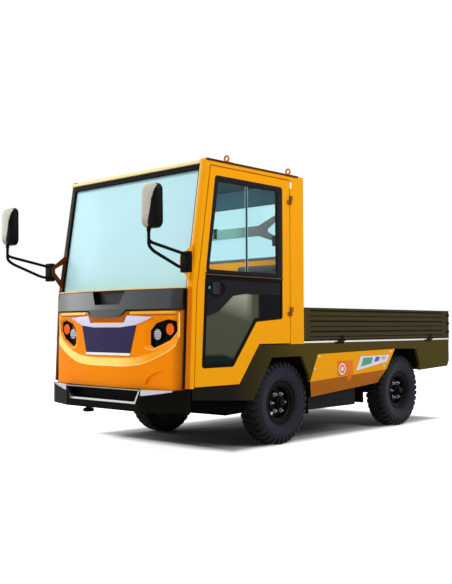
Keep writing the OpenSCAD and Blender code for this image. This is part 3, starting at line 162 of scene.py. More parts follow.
def between(group, given, distance):  # 1 where a distance is between From and To, with soft edges
    low = maths(group, "SUBTRACT", distance, given["From"])
    high = maths(group, "SUBTRACT", given["To"], distance)
    return maths(group, "DIVIDE", maths(group, "MINIMUM", low, high), given["Soft"], clamp=True)


def makeBand():  # 1 where the distance from the middle, in a direction, is between two values
    group, given, end = newGroup(
        "placeBand", {"Direction": (0, 0, 1), "From": 0.0, "To": 1.0, "Soft": 0.001}, {"Mask": "Float"})
    distance = maths(group, "ABSOLUTE", along(group, given["Direction"]))
    feed(group, end, {"Mask": between(group, given, distance)})
    return group


def makeFade():  # rises from 0 to 1 as the place in a direction goes from one value to another
    group, given, end = newGroup(
        "placeFade", {"Direction": (0, 0, 1), "From": 0.0, "To": 1.0}, {"Mask": "Float"})
    feed(group, end, {"Mask": ramp(group, along(group, given["Direction"]), given["From"], given["To"])})
    return group


def makeWheelRing():  # 1 between two distances from a wheel's middle, seen from the side
    group, given, end = newGroup(
        "wheelRing", {"Centre": (0, 0, 0), "From": 0.0, "To": 1.0, "Soft": 0.004}, {"Mask": "Float"})
    away = part(group, "VectorMath", {0: objectPlace(group), 1: given["Centre"]}, operation="SUBTRACT")
    flat = part(group, "VectorMath", {0: away.outputs["Vector"], 1: (0, 1, 1)}, operation="MULTIPLY")
    size = part(group, "VectorMath", {0: flat.outputs["Vector"]}, operation="LENGTH")
    feed(group, end, {"Mask": between(group, given, size.outputs["Value"])})
    return group


grainGroup, dustGroup, bandGroup = makeGrain(), makeDust(), makeBand()
fadeGroup, wheelGroup = makeFade(), makeWheelRing()

studio = {"light": 0.42, "seen": 1.0}  # the world's strength as light, and as the eye, gloss and glass see it
world = bpy.data.worlds.new("studio")
bpy.context.scene.world = world
world.use_nodes = True
sky = world.node_tree
rays = part(sky, "LightPath").outputs
glossOrSeen = maths(sky, "MAXIMUM", rays["Is Camera Ray"], rays["Is Glossy Ray"])
throughGlass = maths(sky, "MAXIMUM", glossOrSeen, rays["Is Transmission Ray"])
level = ramp(sky, throughGlass, 0.0, 1.0, studio["light"], studio["seen"])
feed(sky, sky.nodes["Background"], {"Color": (1, 1, 1, 1), "Strength": level})


# materials

def newMaterial(name):
    material = bpy.data.materials.new(name)
    material.use_nodes = True
    return material, material.node_tree, material.node_tree.nodes["Principled BSDF"]


def addGroup(tree, group, values):
    return part(tree, "Group", values, node_tree=group).outputs


def finish(
    name, colour, rough=0.4, metal=0.0, grain=(220, 0.08), vary=0.06, coat=0.0, dust=0.0, dustTop=0.6,
    glow=None, sheen=0.0, gloss=0.07,
):
    material, tree, shader = newMaterial(name)
    scale, depth = grain
    grains = addGroup(tree, grainGroup, {"Scale": scale, "Depth": depth, "Roughness": rough, "Vary": vary})
    paint = addGroup(tree, dustGroup, {"Color": (*colour, 1), "Amount": dust, "Top": dustTop})
    feed(tree, shader, {
        "Base Color": paint["Color"], "Roughness": grains["Roughness"], "Normal": grains["Normal"],
        "Metallic": metal, "Specular IOR Level": gloss, "Coat Weight": coat, "Coat Roughness": 0.08,
        "Sheen Weight": sheen,
    })
    if glow:
        feed(tree, shader, {"Emission Color": (*glow[0], 1), "Emission Strength": glow[1]})
    return material


def glass(name, colour, clear, rough=0.03):
    material, tree, shader = newMaterial(name)
    grains = addGroup(tree, grainGroup, {"Scale": 3.0, "Depth": 0.02, "Roughness": rough, "Vary": 0.02})
    dust = {"Dust": (0.5, 0.5, 0.48, 1), "Amount": 0.02, "Top": 3.0}
    tint = addGroup(tree, dustGroup, {"Color": (*colour, 1), **dust})
    feed(tree, shader, {
        "Base Color": tint["Color"], "Roughness": grains["Roughness"],
        "Metallic": 0.0, "Transmission Weight": clear, "IOR": 1.12,
    })
    return material


def band(direction, low, high, soft=0.001):
    return bandGroup, {"Direction": direction, "From": low, "To": high, "Soft": soft}


def fade(direction, low, high):
    return fadeGroup, {"Direction": direction, "From": low, "To": high}


def paintOver(material, colour, *masks):  # lays a colour over the base where every mask is 1
    tree = material.node_tree
    shader = tree.nodes["Principled BSDF"]
    mask = None
    for other in masks:
        entry = addGroup(tree, *other)["Mask"] if isinstance(other, tuple) else other
        mask = maths(tree, "MULTIPLY", mask, entry) if mask else entry
    before = shader.inputs["Base Color"].links[0].from_socket
    feed(tree, shader, {"Base Color": blendOf(tree, mask, before, (*colour, 1))})


def pattern(material, ridges, blend="MULTIPLY", relief=None, tint=None):  # even ridges, in one or two ways
    tree = material.node_tree
    shader = tree.nodes["Principled BSDF"]
    lines = []
    for direction, scale in ridges:
        turns = along(tree, Vector(direction).normalized() * scale * 2 * math.pi)
        lines.append(maths(tree, "SINE", turns))
    height = maths(tree, blend, *lines) if len(lines) > 1 else lines[0]
    if relief:  # its strength and its depth, under the grain
        grains = shader.inputs["Normal"].links[0].from_socket
        bump = part(tree, "Bump", {
            "Strength": relief[0], "Distance": relief[1], "Height": height, "Normal": grains})
        feed(tree, shader, {"Normal": bump.outputs["Normal"]})
    if tint:  # the level above which the ridges have a colour of their own, and that colour
        paintOver(material, tint[1], maths(tree, "GREATER_THAN", height, tint[0]))


toLeft, toRight, toBack = (1, 0, 0), (-1, 0, 0), (0, 1, 0)
toFront, up, down = (0, -1, 0), (0, 0, 1), (0, 0, -1)

yellow = finish("cabYellow", (0.83, 0.335, 0.002), 0.32, grain=(60, 0.03), coat=0.02, gloss=0.045)
paintOver(yellow, (0.26, 0.09, 0.012), band(toLeft, 0.8061, 0.9))  # the hinges outside the body's face
pillarFace, lowPillarFace = (0, -0.9884, 0.1518), (0, -0.9992, 0.0395)
pillarFront = (band(pillarFace, 1.787, 2.2, 0.004), fade(up, 1.236, 1.246))
# painted highlight: a cream strip along the outer edge of the right pillar's front
paintOver(yellow, (0.86, 0.62, 0.3), *pillarFront, fade(toLeft, -0.790, -0.7915))
# painted shade: the right pillar's front face is darkened to black
pillarShade = (*pillarFront, fade(toLeft, -0.792, -0.789), fade(toRight, 0.730, 0.735))
paintOver(yellow, (0.006, 0.006, 0.006), *pillarShade)
# painted highlight: pale cream on the left pillar's front, near its inner edge
paintOver(yellow, (0.9, 0.66, 0.32), *pillarFront, fade(toLeft, 0.1, 0.2), fade(toRight, -0.774, -0.748))
# painted shade: the pillars' front faces below the windscreen are a deeper orange, and dark brown on the
# right pillar's outer part
lowPillar = (band(lowPillarFace, 1.694, 2.2, 0.012), fade(down, -1.246, -1.236))
paintOver(yellow, (0.63, 0.15, 0.001), *lowPillar)
paintOver(yellow, (0.16, 0.06, 0.01), *lowPillar, fade(toRight, 0.745, 0.755))
# painted shade: the yellow by the right mirror's bracket is dark brown
mirrorBracketShade = (band(pillarFace, 1.802, 2.2, 0.003), band(up, 1.25, 1.6), fade(toRight, 0.740, 0.760))
paintOver(yellow, (0.11, 0.03, 0.003), *mirrorBracketShade)
# the shelf under the windscreen: a cream painted highlight on its top, and a painted shadow line below it
shelfFront = (band(toLeft, -1.0, 0.7435), fade(toFront, 1.3, 1.4))
paintOver(yellow, (0.9, 0.74, 0.42), *shelfFront, band(up, 1.2335, 1.2449))
paintOver(yellow, (0.05, 0.03, 0.01), *shelfFront, band(up, 1.2, 1.2335))

panelYellow = finish(
    "panelYellow", (0.80, 0.335, 0.002), 0.32, grain=(60, 0.03), coat=0.02, dust=0.02, dustTop=0.7,
    gloss=0.045)
# painted shade: below the crease, where the panel leans in, it is a darker orange, and its lower front edge
# is black
belowCrease = band((0.0, -0.0511, 0.9987), 0.2, 0.5078)
paintOver(panelYellow, (0.42, 0.12, 0.002), belowCrease)
paintOver(panelYellow, (0.004, 0.004, 0.004), fade((0, -0.8339, -0.55184), -0.0411, -0.0405), belowCrease)

noseOrange = finish("noseOrange", (0.92, 0.25, 0.0005), 0.28, grain=(40, 0.03), coat=0.03, gloss=0.045)
# painted shade on the front's rounded corner on the left side
paintOver(noseOrange, (0.46, 0.12, 0.001), fade(toLeft, 0.655, 0.738))
for side, rimHighlight in ((-1, (1.0, 0.66, 0.2)), (1, (0.92, 0.42, 0.045))):
    beside = (fade((side, 0, 0), 0.205, 0.225), fade((-side, 0, 0), -0.70, -0.67))
    paintOver(noseOrange, rimHighlight, *beside, band(up, 1.050, 1.08, 0.004))  # a painted highlight on the rim
    paintOver(noseOrange, (0.30, 0.085, 0.002), *beside, band(up, 1.037, 1.048, 0.004))  # painted shade in the crease below it
# the smile ledge's pale yellow is a painted highlight, fading to the plain orange towards the left side
ledgeHighlight = finish("ledgeHighlight", (1.0, 0.70, 0.16), 0.3, grain=(40, 0.03), coat=0.03)
paintOver(ledgeHighlight, (0.90, 0.33, 0.008), fade(toLeft, 0.12, 0.46))
# pale yellow on the raised edges of the smile ledge and the lamp recesses: a painted highlight
edgeHighlight = finish("edgeHighlight", (0.97, 0.70, 0.24), 0.28, grain=(40, 0.02), coat=0.06)
shadeOrange = finish("shadeOrange", (0.42, 0.105, 0.001), 0.35, grain=(40, 0.03), coat=0.04)

olive = finish(
    "oliveSkirt", (0.068, 0.047, 0.005), 0.42, grain=(90, 0.05), dust=0.02, dustTop=0.7, gloss=0.04)
paintOver(olive, (0.008, 0.007, 0.004), fade(toFront, 0.35, 1.25))
oliveSide = finish("oliveDropside", (0.046, 0.036, 0.012), 0.45, grain=(90, 0.06), gloss=0.04)
paintOver(oliveSide, (0.004, 0.004, 0.004), band(toLeft, 0.8062, 0.9))
# painted shade in the dropsides' grooves
paintOver(oliveSide, (0.006, 0.006, 0.004), band(toLeft, 0.797, 0.8035), band(up, 0.85, 1.108))
frontBar = (band(toLeft, 0.8045, 0.8055), fade(toFront, 0.30, 0.304))
paintOver(oliveSide, (0.07, 0.045, 0.014), *frontBar, band(toBack, 0.312, 0.341))
paintOver(oliveSide, (0.006, 0.005, 0.003), *frontBar, band(toBack, 0.311, 0.3165))

blackPlastic = finish("blackPlastic", (0.004, 0.004, 0.004), 0.5, grain=(900, 0.25), gloss=0.04)
bumperBlack = finish(
    "bumperBlack", (0.004, 0.0034, 0.0018), 0.36, grain=(700, 0.12), dust=0.008, dustTop=0.5, gloss=0.025)
apronBlack = finish("apronBlack", (0.001, 0.001, 0.001), 0.7, grain=(500, 0.2), gloss=0.015)
chassisBlack = finish("chassisBlack", (0.012, 0.012, 0.012), 0.5, grain=(120, 0.12), dust=0.2, dustTop=0.8)
castSteel = finish("castSteel", (0.04, 0.04, 0.042), 0.6, metal=0.4, grain=(260, 0.4), dust=0.2)
linerBlack = finish(
    "linerBlack", (0.003, 0.003, 0.003), 0.75, grain=(500, 0.35), dust=0.05, dustTop=0.8, gloss=0.08)
batteryBlack = finish(
    "batteryBlack", (0.011, 0.011, 0.012), 0.42, grain=(200, 0.1), dust=0.03, dustTop=0.7, gloss=0.04)
rimBlack = finish("rimBlack", (0.0016, 0.0016, 0.002), 0.38, grain=(150, 0.06), dust=0.01)
nutSilver = finish("nutSilver", (0.34, 0.34, 0.36), 0.22, metal=0.9, grain=(300, 0.05))

rubber = {}
tyreSheenAndBlack = (  # a painted bluish sheen on a tyre's side, and the black beside its rim
    (0.190, 0.296, 0.02, (0.009, 0.0105, 0.021)),
    (0.0, 0.1895, 0.003, (0.0011, 0.0011, 0.0014)),
)
for end, centreY in (("front", axleY), ("rear", axleY + wheelBase)):
    look = finish(
        "tyreRubber" + end.title(), (0.0042, 0.0044, 0.006), 0.5, grain=(350, 0.25), vary=0.15, sheen=0.05,
        dust=0.03, dustTop=0.9, gloss=0.12)
    for low, high, soft, colour in tyreSheenAndBlack:
        zone = {"Centre": (0, centreY, 0.338), "From": low, "To": high, "Soft": soft}
        paintOver(look, colour, (wheelGroup, zone))
    rubber[end] = look

silver = finish("silverTrim", (0.62, 0.63, 0.64), 0.25, metal=0.6, grain=(500, 0.04))
farOpeningShade = (fade(toRight, 0.33, 0.40), fade(toLeft, -0.4405, -0.4395))
paintOver(silver, (0.012, 0.02, 0.03), *farOpeningShade)  # painted shade on the opening's far end
# a pale grey line along the bumper's top: a painted highlight
bumperHighlight = finish("bumperHighlight", (0.34, 0.35, 0.36), 0.3, metal=0.3, grain=(500, 0.04))
bronze = finish("bronzeTrim", (0.12, 0.055, 0.015), 0.35, metal=0.3, grain=(300, 0.05))
indigo = finish("plateIndigo", (0.03, 0.027, 0.08), 0.25, grain=(60, 0.02))
lavender = finish("trimLavender", (0.66, 0.62, 0.8), 0.28, grain=(60, 0.02), coat=0.1)

cowlGrey = finish("cowlGrey", (0.082, 0.093, 0.094), 0.36, grain=(120, 0.05), coat=0.12, gloss=0.3)
# painted reflection: the cowl is paler towards the right side and darkens towards the left side
paintOver(cowlGrey, (0.032, 0.037, 0.041), fade(toLeft, -0.35, 0.55))
scoop = (
    band(toLeft, -1, 0.199, 0.003), band(up, 1.1235, 1.3),
    band((0, -0.9877, 0.1564), 1.0, 1.9375, 0.002),
)
paintOver(cowlGrey, (0.016, 0.014, 0.014), *scoop)
paintOver(cowlGrey, (0.001, 0.001, 0.001), *scoop, fade(toRight, 0.132, 0.142))
# painted shadow: the cowl's end on the left side is black
paintOver(cowlGrey, (0.003, 0.003, 0.003), fade(toLeft, 0.630, 0.675))

lampClear = finish("lampClear", (0.22, 0.23, 0.26), 0.12, metal=0.2, grain=(80, 0.02), coat=0.5)
pattern(lampClear, ((toLeft, 95), (up, 60)), "ADD", (0.8, 0.002), (0.3, (0.78, 0.8, 0.84)))
lampAmber = finish(
    "lampAmber", (0.86, 0.075, 0.002), 0.15, grain=(80, 0.02), coat=0.03, gloss=0.05,
    glow=((1.0, 0.12, 0.004), 0.10))
pattern(lampAmber, (((1, 0, 1), 90), ((1, 0, -1), 90)), relief=(0.9, 0.002), tint=(0.45, (1.0, 0.36, 0.03)))
lampRed = finish("lampRed", (0.42, 0.004, 0.004), 0.15, grain=(80, 0.02), coat=0.1)
pattern(lampRed, ((toLeft, 90),), relief=(0.6, 0.002))

mirrorShell = finish("mirrorShell", (0.004, 0.004, 0.004), 0.35, grain=(500, 0.1), gloss=0.05)
# painted reflection: the light sheet over each mirror's back, paler on the right mirror and darker along its
# bottom
mirrorReflection = finish("mirrorReflection", (0.50, 0.455, 0.39), 0.4, grain=(500, 0.12))
paintOver(mirrorReflection, (0.53, 0.515, 0.44), fade(toRight, 0.1, 0.2))
paintOver(mirrorReflection, (0.36, 0.34, 0.25), fade(down, -1.72, -1.65))
mirrorFace = finish("mirrorFace", (0.85, 0.87, 0.88), 0.03, metal=1.0, grain=(5, 0.0), vary=0.01)
eyeOrange = finish("eyeOrange", (0.42, 0.16, 0.03), 0.4, metal=0.3, grain=(200, 0.15))
whitePaint = finish("whiteEdge", (0.86, 0.86, 0.84), 0.35, grain=(90, 0.05))

deckMetal = finish("deckPlate", (0.3, 0.31, 0.31), 0.38, metal=0.6, grain=(250, 0.15), vary=0.12)
pattern(deckMetal, (((1, 1.6, 0), 24), ((1, -1.6, 0), 24)), "MAXIMUM", (0.5, 0.002))
deckEdge = band(toLeft, 0.802, 0.9)
paintOver(deckMetal, (0.05, 0.045, 0.015), deckEdge)
paintOver(deckMetal, (0.9, 0.9, 0.88), deckEdge, band(up, 0.8168, 0.8318))  # the pale line along the bed
paintOver(deckMetal, (0.004, 0.004, 0.004), band(toLeft, 0.8062, 0.9))

liningGrey = finish("cabLining", (0.022, 0.095, 0.135), 0.7, grain=(700, 0.3), gloss=0.03)
matBlack = finish("floorMat", (0.015, 0.015, 0.015), 0.8, grain=(600, 0.3))
pattern(matBlack, ((toLeft, 60),), relief=(0.5, 0.001))
dashBlack = finish("dashGrain", (0.014, 0.014, 0.015), 0.55, grain=(900, 0.35))
gripBlack = finish("wheelGrip", (0.008, 0.008, 0.008), 0.45, grain=(1200, 0.3))
braceGrey = finish("braceGrey", (0.15, 0.33, 0.28), 0.4, grain=(200, 0.08))
paintOver(braceGrey, (0.12, 0.15, 0.155), fade(toLeft, 0.10, 0.26))
seatCloth = finish("seatCloth", (0.042, 0.055, 0.052), 0.85, grain=(1500, 0.3), sheen=0.3)
pattern(seatCloth, ((toLeft, 300), ((0, 1, 1), 300)), relief=(0.6, 0.0008), tint=(0.3, (0.075, 0.095, 0.09)))
seatVinyl = finish("seatVinyl", (0.02, 0.02, 0.022), 0.45, grain=(1100, 0.35), sheen=0.1)

frit = finish("paneFrit", (0.009, 0.008, 0.011), 0.25, grain=(200, 0.03))
# cream on the sill under the windscreen: a painted highlight on its top
sillHighlight = finish("sillHighlight", (0.88, 0.62, 0.22), 0.35, grain=(60, 0.03), coat=0.05)
headerBlackAndHighlight = finish("headerBlackAndHighlight", (0.008, 0.008, 0.007), 0.35, grain=(60, 0.03), coat=0.05)
paintOver(headerBlackAndHighlight, (0.085, 0.065, 0.02), fade(up, 2.116, 2.128))
# the cream band along the header's top is a painted highlight
paintOver(headerBlackAndHighlight, (0.92, 0.72, 0.36), fade(up, 2.148, 2.162))
# dark brown on the roof's side edges: painted shade
gutterShade = finish("gutterShade", (0.075, 0.018, 0.004), grain=(120, 0.06))
dividerTeal = finish("dividerTeal", (0.008, 0.045, 0.055), 0.3, grain=(300, 0.05))
paneWhite = finish("paneEdge", (0.42, 0.6, 0.58), 0.3, grain=(200, 0.03))
ledgeGrey = finish("ledgeGrey", (0.10, 0.15, 0.14), 0.5, grain=(300, 0.1))
meterGlass = finish("meterGlass", (0.01, 0.02, 0.026), 0.08, grain=(20, 0.01), coat=0.5)
labelWhite = finish("labelWhite", (0.72, 0.68, 0.78), 0.35, grain=(60, 0.02))
labelGreen = finish("labelGreen", (0.09, 0.36, 0.22), grain=(60, 0.02))
labelBlue = finish("labelBlue", (0.1, 0.12, 0.38), grain=(60, 0.02))
labelGrey = finish("labelGrey", (0.42, 0.38, 0.5), grain=(60, 0.02))
keyGreen = finish("keyGreen", (0.05, 0.42, 0.36), 0.3, grain=(200, 0.05))
handleGrey = finish("handleGrey", (0.028, 0.02, 0.032), grain=(500, 0.1))
coverRed = finish("coverRed", (0.72, 0.13, 0.004), 0.35, grain=(60, 0.03), coat=0.04)
pattern(coverRed, ((toBack, 95), (up, 95)), tint=(0.35, (0.85, 0.28, 0.02)))

screenGlass = glass("screenGlass", (0.54, 0.83, 0.89), 0.1, 0.05)
sideGlass = glass("sideGlass", (0.86, 0.97, 0.98), 0.985)
rearGlass = glass("rearGlass", (0.56, 0.87, 0.93), 0.96)
lowGlass = glass("lowGlass", (0.09, 0.1, 0.06), 0.35, 0.06)
# painted reflection: the lower pane is paler near its top front
paintOver(lowGlass, (0.46, 0.5, 0.4), fade((0, 0.25, 1), 0.72, 0.93), fade(toFront, 0.99, 1.08))
paintOver(lowGlass, (0.006, 0.006, 0.008), fade(toBack, -0.945, -0.915), fade(up, 0.96, 1.02))
paintOver(lowGlass, (0.012, 0.02, 0.02), fade((0, -0.35, -1), -0.31, -0.27), fade(down, -0.76, -0.735))

paintOf = {
    yellow: "cab_frame roof_panel door_left door_right",
    panelYellow: "battery_panels",
    noseOrange: "fascia",
    olive: "skirts",
    oliveSide: "bed_posts dropside_left dropside_right tailgate",
    blackPlastic: "lamp_housings mirror_arms",
    apronBlack: "sill_aprons",
    bumperBlack: "front_bumper",
    chassisBlack: "chassis_frame bed_frame rear_coupling seat_bases",
    castSteel: "front_axle rear_axle drive_motor knuckle_left knuckle_right track_rod leaf_springs",
    linerBlack: "arch_liners",
    batteryBlack: "batteries",
    rubber["front"]: "tyre_front_left tyre_front_right",
    rubber["rear"]: "tyre_rear_left tyre_rear_right",
    rimBlack: "rim_front_left rim_front_right rim_rear_left rim_rear_right",
    indigo: "front_plate",
    cowlGrey: "cowl",
    lampClear: "clear_lamps",
    lampAmber: "amber_lamps",
    lampRed: "rear_lamps",
    mirrorShell: "mirror_heads",
    eyeOrange: "lifting_eyes",
    deckMetal: "deck",
    matBlack: "cab_floor",
    dashBlack: "dashboard",
    gripBlack: "steering_wheel",
    braceGrey: "window_brace",
    seatCloth: "seat_cushion_left seat_cushion_right seat_back_left seat_back_right",
    coverRed: "charge_cover",
    screenGlass: "windscreen",
    sideGlass: "door_glass_left door_glass_right",
    rearGlass: "rear_window",
}
for material, names in paintOf.items():
    for name in names.split():
        node = nodes[name]
        if not node.material_slots:
            node.data.materials.append(material)
        for place in node.material_slots:
            place.material = material
print("materials on", sum(len(names.split()) for names in paintOf.values()), "nodes")


# modelling helpers

def mode(kind):
    bpy.ops.object.mode_set(mode=kind)


def selectAll(action="SELECT"):
    bpy.ops.mesh.select_all(action=action)


def move(push):
    bpy.ops.transform.translate(value=push)


def smooth(angle):
    bpy.ops.object.shade_smooth_by_angle(angle=math.radians(angle))


def deselect():
    if bpy.context.object and bpy.context.object.mode != "OBJECT":
        mode("OBJECT")
    bpy.ops.object.select_all(action="DESELECT")


def use(piece):  # makes one piece the selected and active one
    deselect()
    piece.select_set(True)
    bpy.context.view_layer.objects.active = piece


def remove(piece):
    use(piece)
    bpy.ops.object.delete()


def settle():  # keeps the active piece's place and turn in its mesh
    bpy.ops.object.transform_apply(location=True, rotation=True, scale=True)
    return bpy.context.object


def seat(piece, place=(0, 0, 0), turn=(0, 0, 0)):
    use(piece)
    piece.location = place
    piece.rotation_euler = [math.radians(a) for a in turn]
    return settle()


def pick(piece, test, kind="FACE"):  # selects faces, edges or vertices by their place, and stays in edit mode
    use(piece)
    mode("EDIT")
    bpy.ops.mesh.select_mode(type=kind)
    selectAll("DESELECT")
    mode("OBJECT")
    mesh = piece.data
    if kind == "FACE":
        for face in mesh.polygons:
            face.select = bool(test(face.center, face.normal))
    elif kind == "EDGE":
        for edge in mesh.edges:
            first, last = [mesh.vertices[i].co for i in edge.vertices]
            edge.select = bool(test((first + last) / 2, last - first))
    else:
        for corner in mesh.vertices:
            corner.select = bool(test(corner.co, corner.normal))
    mode("EDIT")


def facing(axis, side=1):  # a test for the faces that look along an axis
    return lambda place, way: side * way["XYZ".index(axis)] > 0.9


def press(piece, test, *steps):  # insets the faces that pass a test and moves them, step by step
    pick(piece, test)
    for border, push in steps:
        bpy.ops.mesh.inset(thickness=border)
        move(push)
    mode("OBJECT")


def editAll(piece):
    use(piece)
    mode("EDIT")
    bpy.ops.mesh.select_mode(type="FACE")
    selectAll()


def faceOut(piece, merge=0.00001):
    editAll(piece)
    bpy.ops.mesh.remove_doubles(threshold=merge)
    bpy.ops.mesh.normals_make_consistent(inside=False)
    mode("OBJECT")


def apply(piece, kind, **settings):  # adds a modifier with its settings, and applies it
    use(piece)
    added = piece.modifiers.new(kind.lower(), kind)
    for name, value in settings.items():
        setattr(added, name, value)
    bpy.ops.object.modifier_apply(modifier=added.name)


def bevelAll(piece, width, segments=2, angle=35):
    limit = math.radians(angle)
    apply(piece, "BEVEL", width=width, segments=segments, limit_method="ANGLE", angle_limit=limit)
    smooth(30)


def done(piece, name, body, material, replaced=()):
    piece.name = name
    piece.data.name = name
    piece.data.materials.clear()
    piece.data.materials.append(material)
    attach(piece, body)
    for node in replaced:
        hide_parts(node)
    return piece


def block(low, high, bevel=0.002, segments=2):  # a box between two corners, with its edges rounded
    deselect()
    size = [b - a for a, b in zip(low, high)]
    bpy.ops.mesh.primitive_cube_add(size=1, location=[(a + b) / 2 for a, b in zip(low, high)], scale=size)
    piece = settle()
    if bevel:
        bevelAll(piece, bevel, segments)
    return piece


def placed(x, y, z, bevel=0.002, segments=2):  # a block between pairs of values; y is from the front axle
    low, high = sorted(x)
    return block((low, y[0] + axleY, z[0]), (high, y[1] + axleY, z[1]), bevel, segments)


def drum(centre, radius, length, axis="Z", count=32, bevel=0.0, segments=2):  # a round bar along an axis
    deselect()
    turn = {"X": (0, math.pi / 2, 0), "Y": (math.pi / 2, 0, 0), "Z": (0, 0, 0)}[axis]
    bpy.ops.mesh.primitive_cylinder_add(
        vertices=count, radius=radius, depth=length, location=centre, rotation=turn)
    piece = settle()
    if bevel:
        bevelAll(piece, bevel, segments)
    return piece


def shape(piece, points):  # moves every corner to its own place
    starts = [corner.co.copy() for corner in piece.data.vertices]
    use(piece)
    mode("EDIT")
    bpy.ops.mesh.select_mode(type="VERT")
    for i, target in enumerate(points):
        selectAll("DESELECT")
        mode("OBJECT")
        piece.data.vertices[i].select = True
        mode("EDIT")
        move(Vector(target) - starts[i])
    mode("OBJECT")
    return piece


def plate(points, fill="NGON"):  # a sheet with a corner at each point
    deselect()
    bpy.ops.mesh.primitive_circle_add(vertices=len(points), radius=1, fill_type=fill, location=(0, 0, 0))
    return shape(bpy.context.object, points)


def fillEnds(piece):
    selectAll()
    bpy.ops.mesh.fill_holes(sides=0)
    mode("OBJECT")
    faceOut(piece)
    return piece


def ribbon(rows, shut=True):  # a skin over rows of points; shut closes it round and fills its ends
    deselect()
    rows = rows + rows[:1] if shut else rows
    bpy.ops.mesh.primitive_grid_add(x_subdivisions=len(rows[0]) - 1, y_subdivisions=len(rows) - 1, size=1)
    piece = shape(bpy.context.object, [point for row in rows for point in row])
    editAll(piece)
    bpy.ops.mesh.remove_doubles(threshold=0.00001)
    if shut:
        return fillEnds(piece)
    mode("OBJECT")
    faceOut(piece)
    return piece


def thicken(piece, push):  # pulls a flat sheet into a slab
    editAll(piece)
    bpy.ops.mesh.extrude_region_move(TRANSFORM_OT_translate={"value": push})
    faceOut(piece)
    return piece


def join(pieces):
    use(pieces[0])
    for piece in pieces[1:]:
        piece.select_set(True)
    bpy.ops.object.join()
    return bpy.context.object


def copyOf(piece, place=(0, 0, 0), turn=(0, 0, 0)):
    use(piece)
    bpy.ops.object.duplicate()
    return seat(bpy.context.object, place, turn)


def mirrored(piece):  # the twin on the other side of the vehicle
    use(piece)
    bpy.ops.object.duplicate()
    bpy.context.object.scale = (-1, 1, 1)
    twin = settle()
    faceOut(twin)
    return twin


def pair(piece, name, body, material, replaced=(), twin=None):  # a left piece and its right twin
    twin = twin or mirrored(piece)
    done(piece, name + "Left", body, material, replaced)
    others = [node.replace("_left", "_right") for node in replaced]
    done(twin, name + "Right", body.replace("_left", "_right"), material, others)
    return piece, twin


def rounded(corners, radius, steps=5):  # an outline whose corners are arcs
    points = []
    count = len(corners)
    for i, corner in enumerate(corners):
        here = Vector(corner)
        back = (Vector(corners[i - 1]) - here).normalized()
        ahead = (Vector(corners[(i + 1) % count]) - here).normalized()
        half = back.angle(ahead) / 2
        middle = here + (back + ahead).normalized() * radius / math.sin(half)
        first = here + back * radius / math.tan(half) - middle
        last = here + ahead * radius / math.tan(half) - middle
        for k in range(steps + 1):
            share = k / steps
            points.append(middle + (first * (1 - share) + last * share).normalized() * radius)
    return points


def circle(count):
    angles = [2 * math.pi * i / count for i in range(count)]
    return [(math.cos(a), math.sin(a)) for a in angles]


def sideSheet(outline, low, high, radius=0.0):  # a slab between two widths; its outline is (length, height)
    corners = rounded(outline, radius) if radius else outline
    return thicken(plate([(high, y + axleY, z) for y, z in corners]), (low - high, 0, 0))


def sideOval(x, middle, half, count=40):  # points round an oval on a side
    return [(x, middle[0] + axleY + half[0] * a, middle[1] + half[1] * b) for a, b in circle(count)]


def ring(outside, inside, push):  # a frame between two outlines with the same number of corners
    frameRing = join([plate(outside, "NOTHING"), plate(inside, "NOTHING")])
    use(frameRing)
    mode("EDIT")
    bpy.ops.mesh.select_mode(type="EDGE")
    selectAll()
    bpy.ops.mesh.bridge_edge_loops()
    mode("OBJECT")
    return thicken(frameRing, push)


def sideRing(outer, inner, low, high, radiusOut, radiusIn):
    outline = lambda corners, radius: [(high, y + axleY, z) for y, z in rounded(corners, radius)]
    return ring(outline(outer, radiusOut), outline(inner, radiusIn), (low - high, 0, 0))


def tube(points, radius, count=12):  # a bar swept along a line of points
    deselect()
    line = bpy.data.curves.new("tube", "CURVE")
    line.dimensions = "3D"
    line.bevel_depth = radius
    line.bevel_resolution = max(1, count // 4)
    line.use_fill_caps = True
    path = line.splines.new("POLY")
    path.points.add(len(points) - 1)
    for corner, point in zip(path.points, points):
        corner.co = (*point, 1)
    bar = bpy.data.objects.new("tube", line)
    bpy.context.collection.objects.link(bar)
    use(bar)
    bpy.ops.object.convert(target="MESH")
    faceOut(bpy.context.object)
    smooth(40)
    return bpy.context.object


def noseY(x, depth=0.0):
    return noseTip + noseR - math.sqrt((noseR - depth) ** 2 - x * x)


def onNose(x, z, depth):
    return (x, noseY(x, depth), z)


def noseSheet(outline, depth, thick, strips):  # a sheet with an outline of (x, z), pressed on the bulge
    piece = plate([(x, noseTip - 0.1, z) for x, z in outline])
    left, right = min(x for x, z in outline), max(x for x, z in outline)
    for i in range(1, strips):
        editAll(piece)
        cut = (left + (right - left) * i / strips, 0, 0)
        bpy.ops.mesh.bisect(plane_co=cut, plane_no=(1, 0, 0))
        mode("OBJECT")
    form = drum((0, noseTip + noseR, 1), noseR - depth, 3, "Z", 900)
    apply(
        piece, "SHRINKWRAP", target=form, wrap_method="PROJECT",
        use_project_x=False, use_project_y=True, use_project_z=False,
        use_positive_direction=True, use_negative_direction=True)
    remove(form)
    editAll(piece)
    bpy.ops.mesh.normals_make_consistent(inside=False)
    bpy.ops.mesh.extrude_region_move(TRANSFORM_OT_translate={"value": (0, -thick, 0)})
    faceOut(piece)
    return piece


# wheels: tyres with a block tread, wheel nuts and hub caps

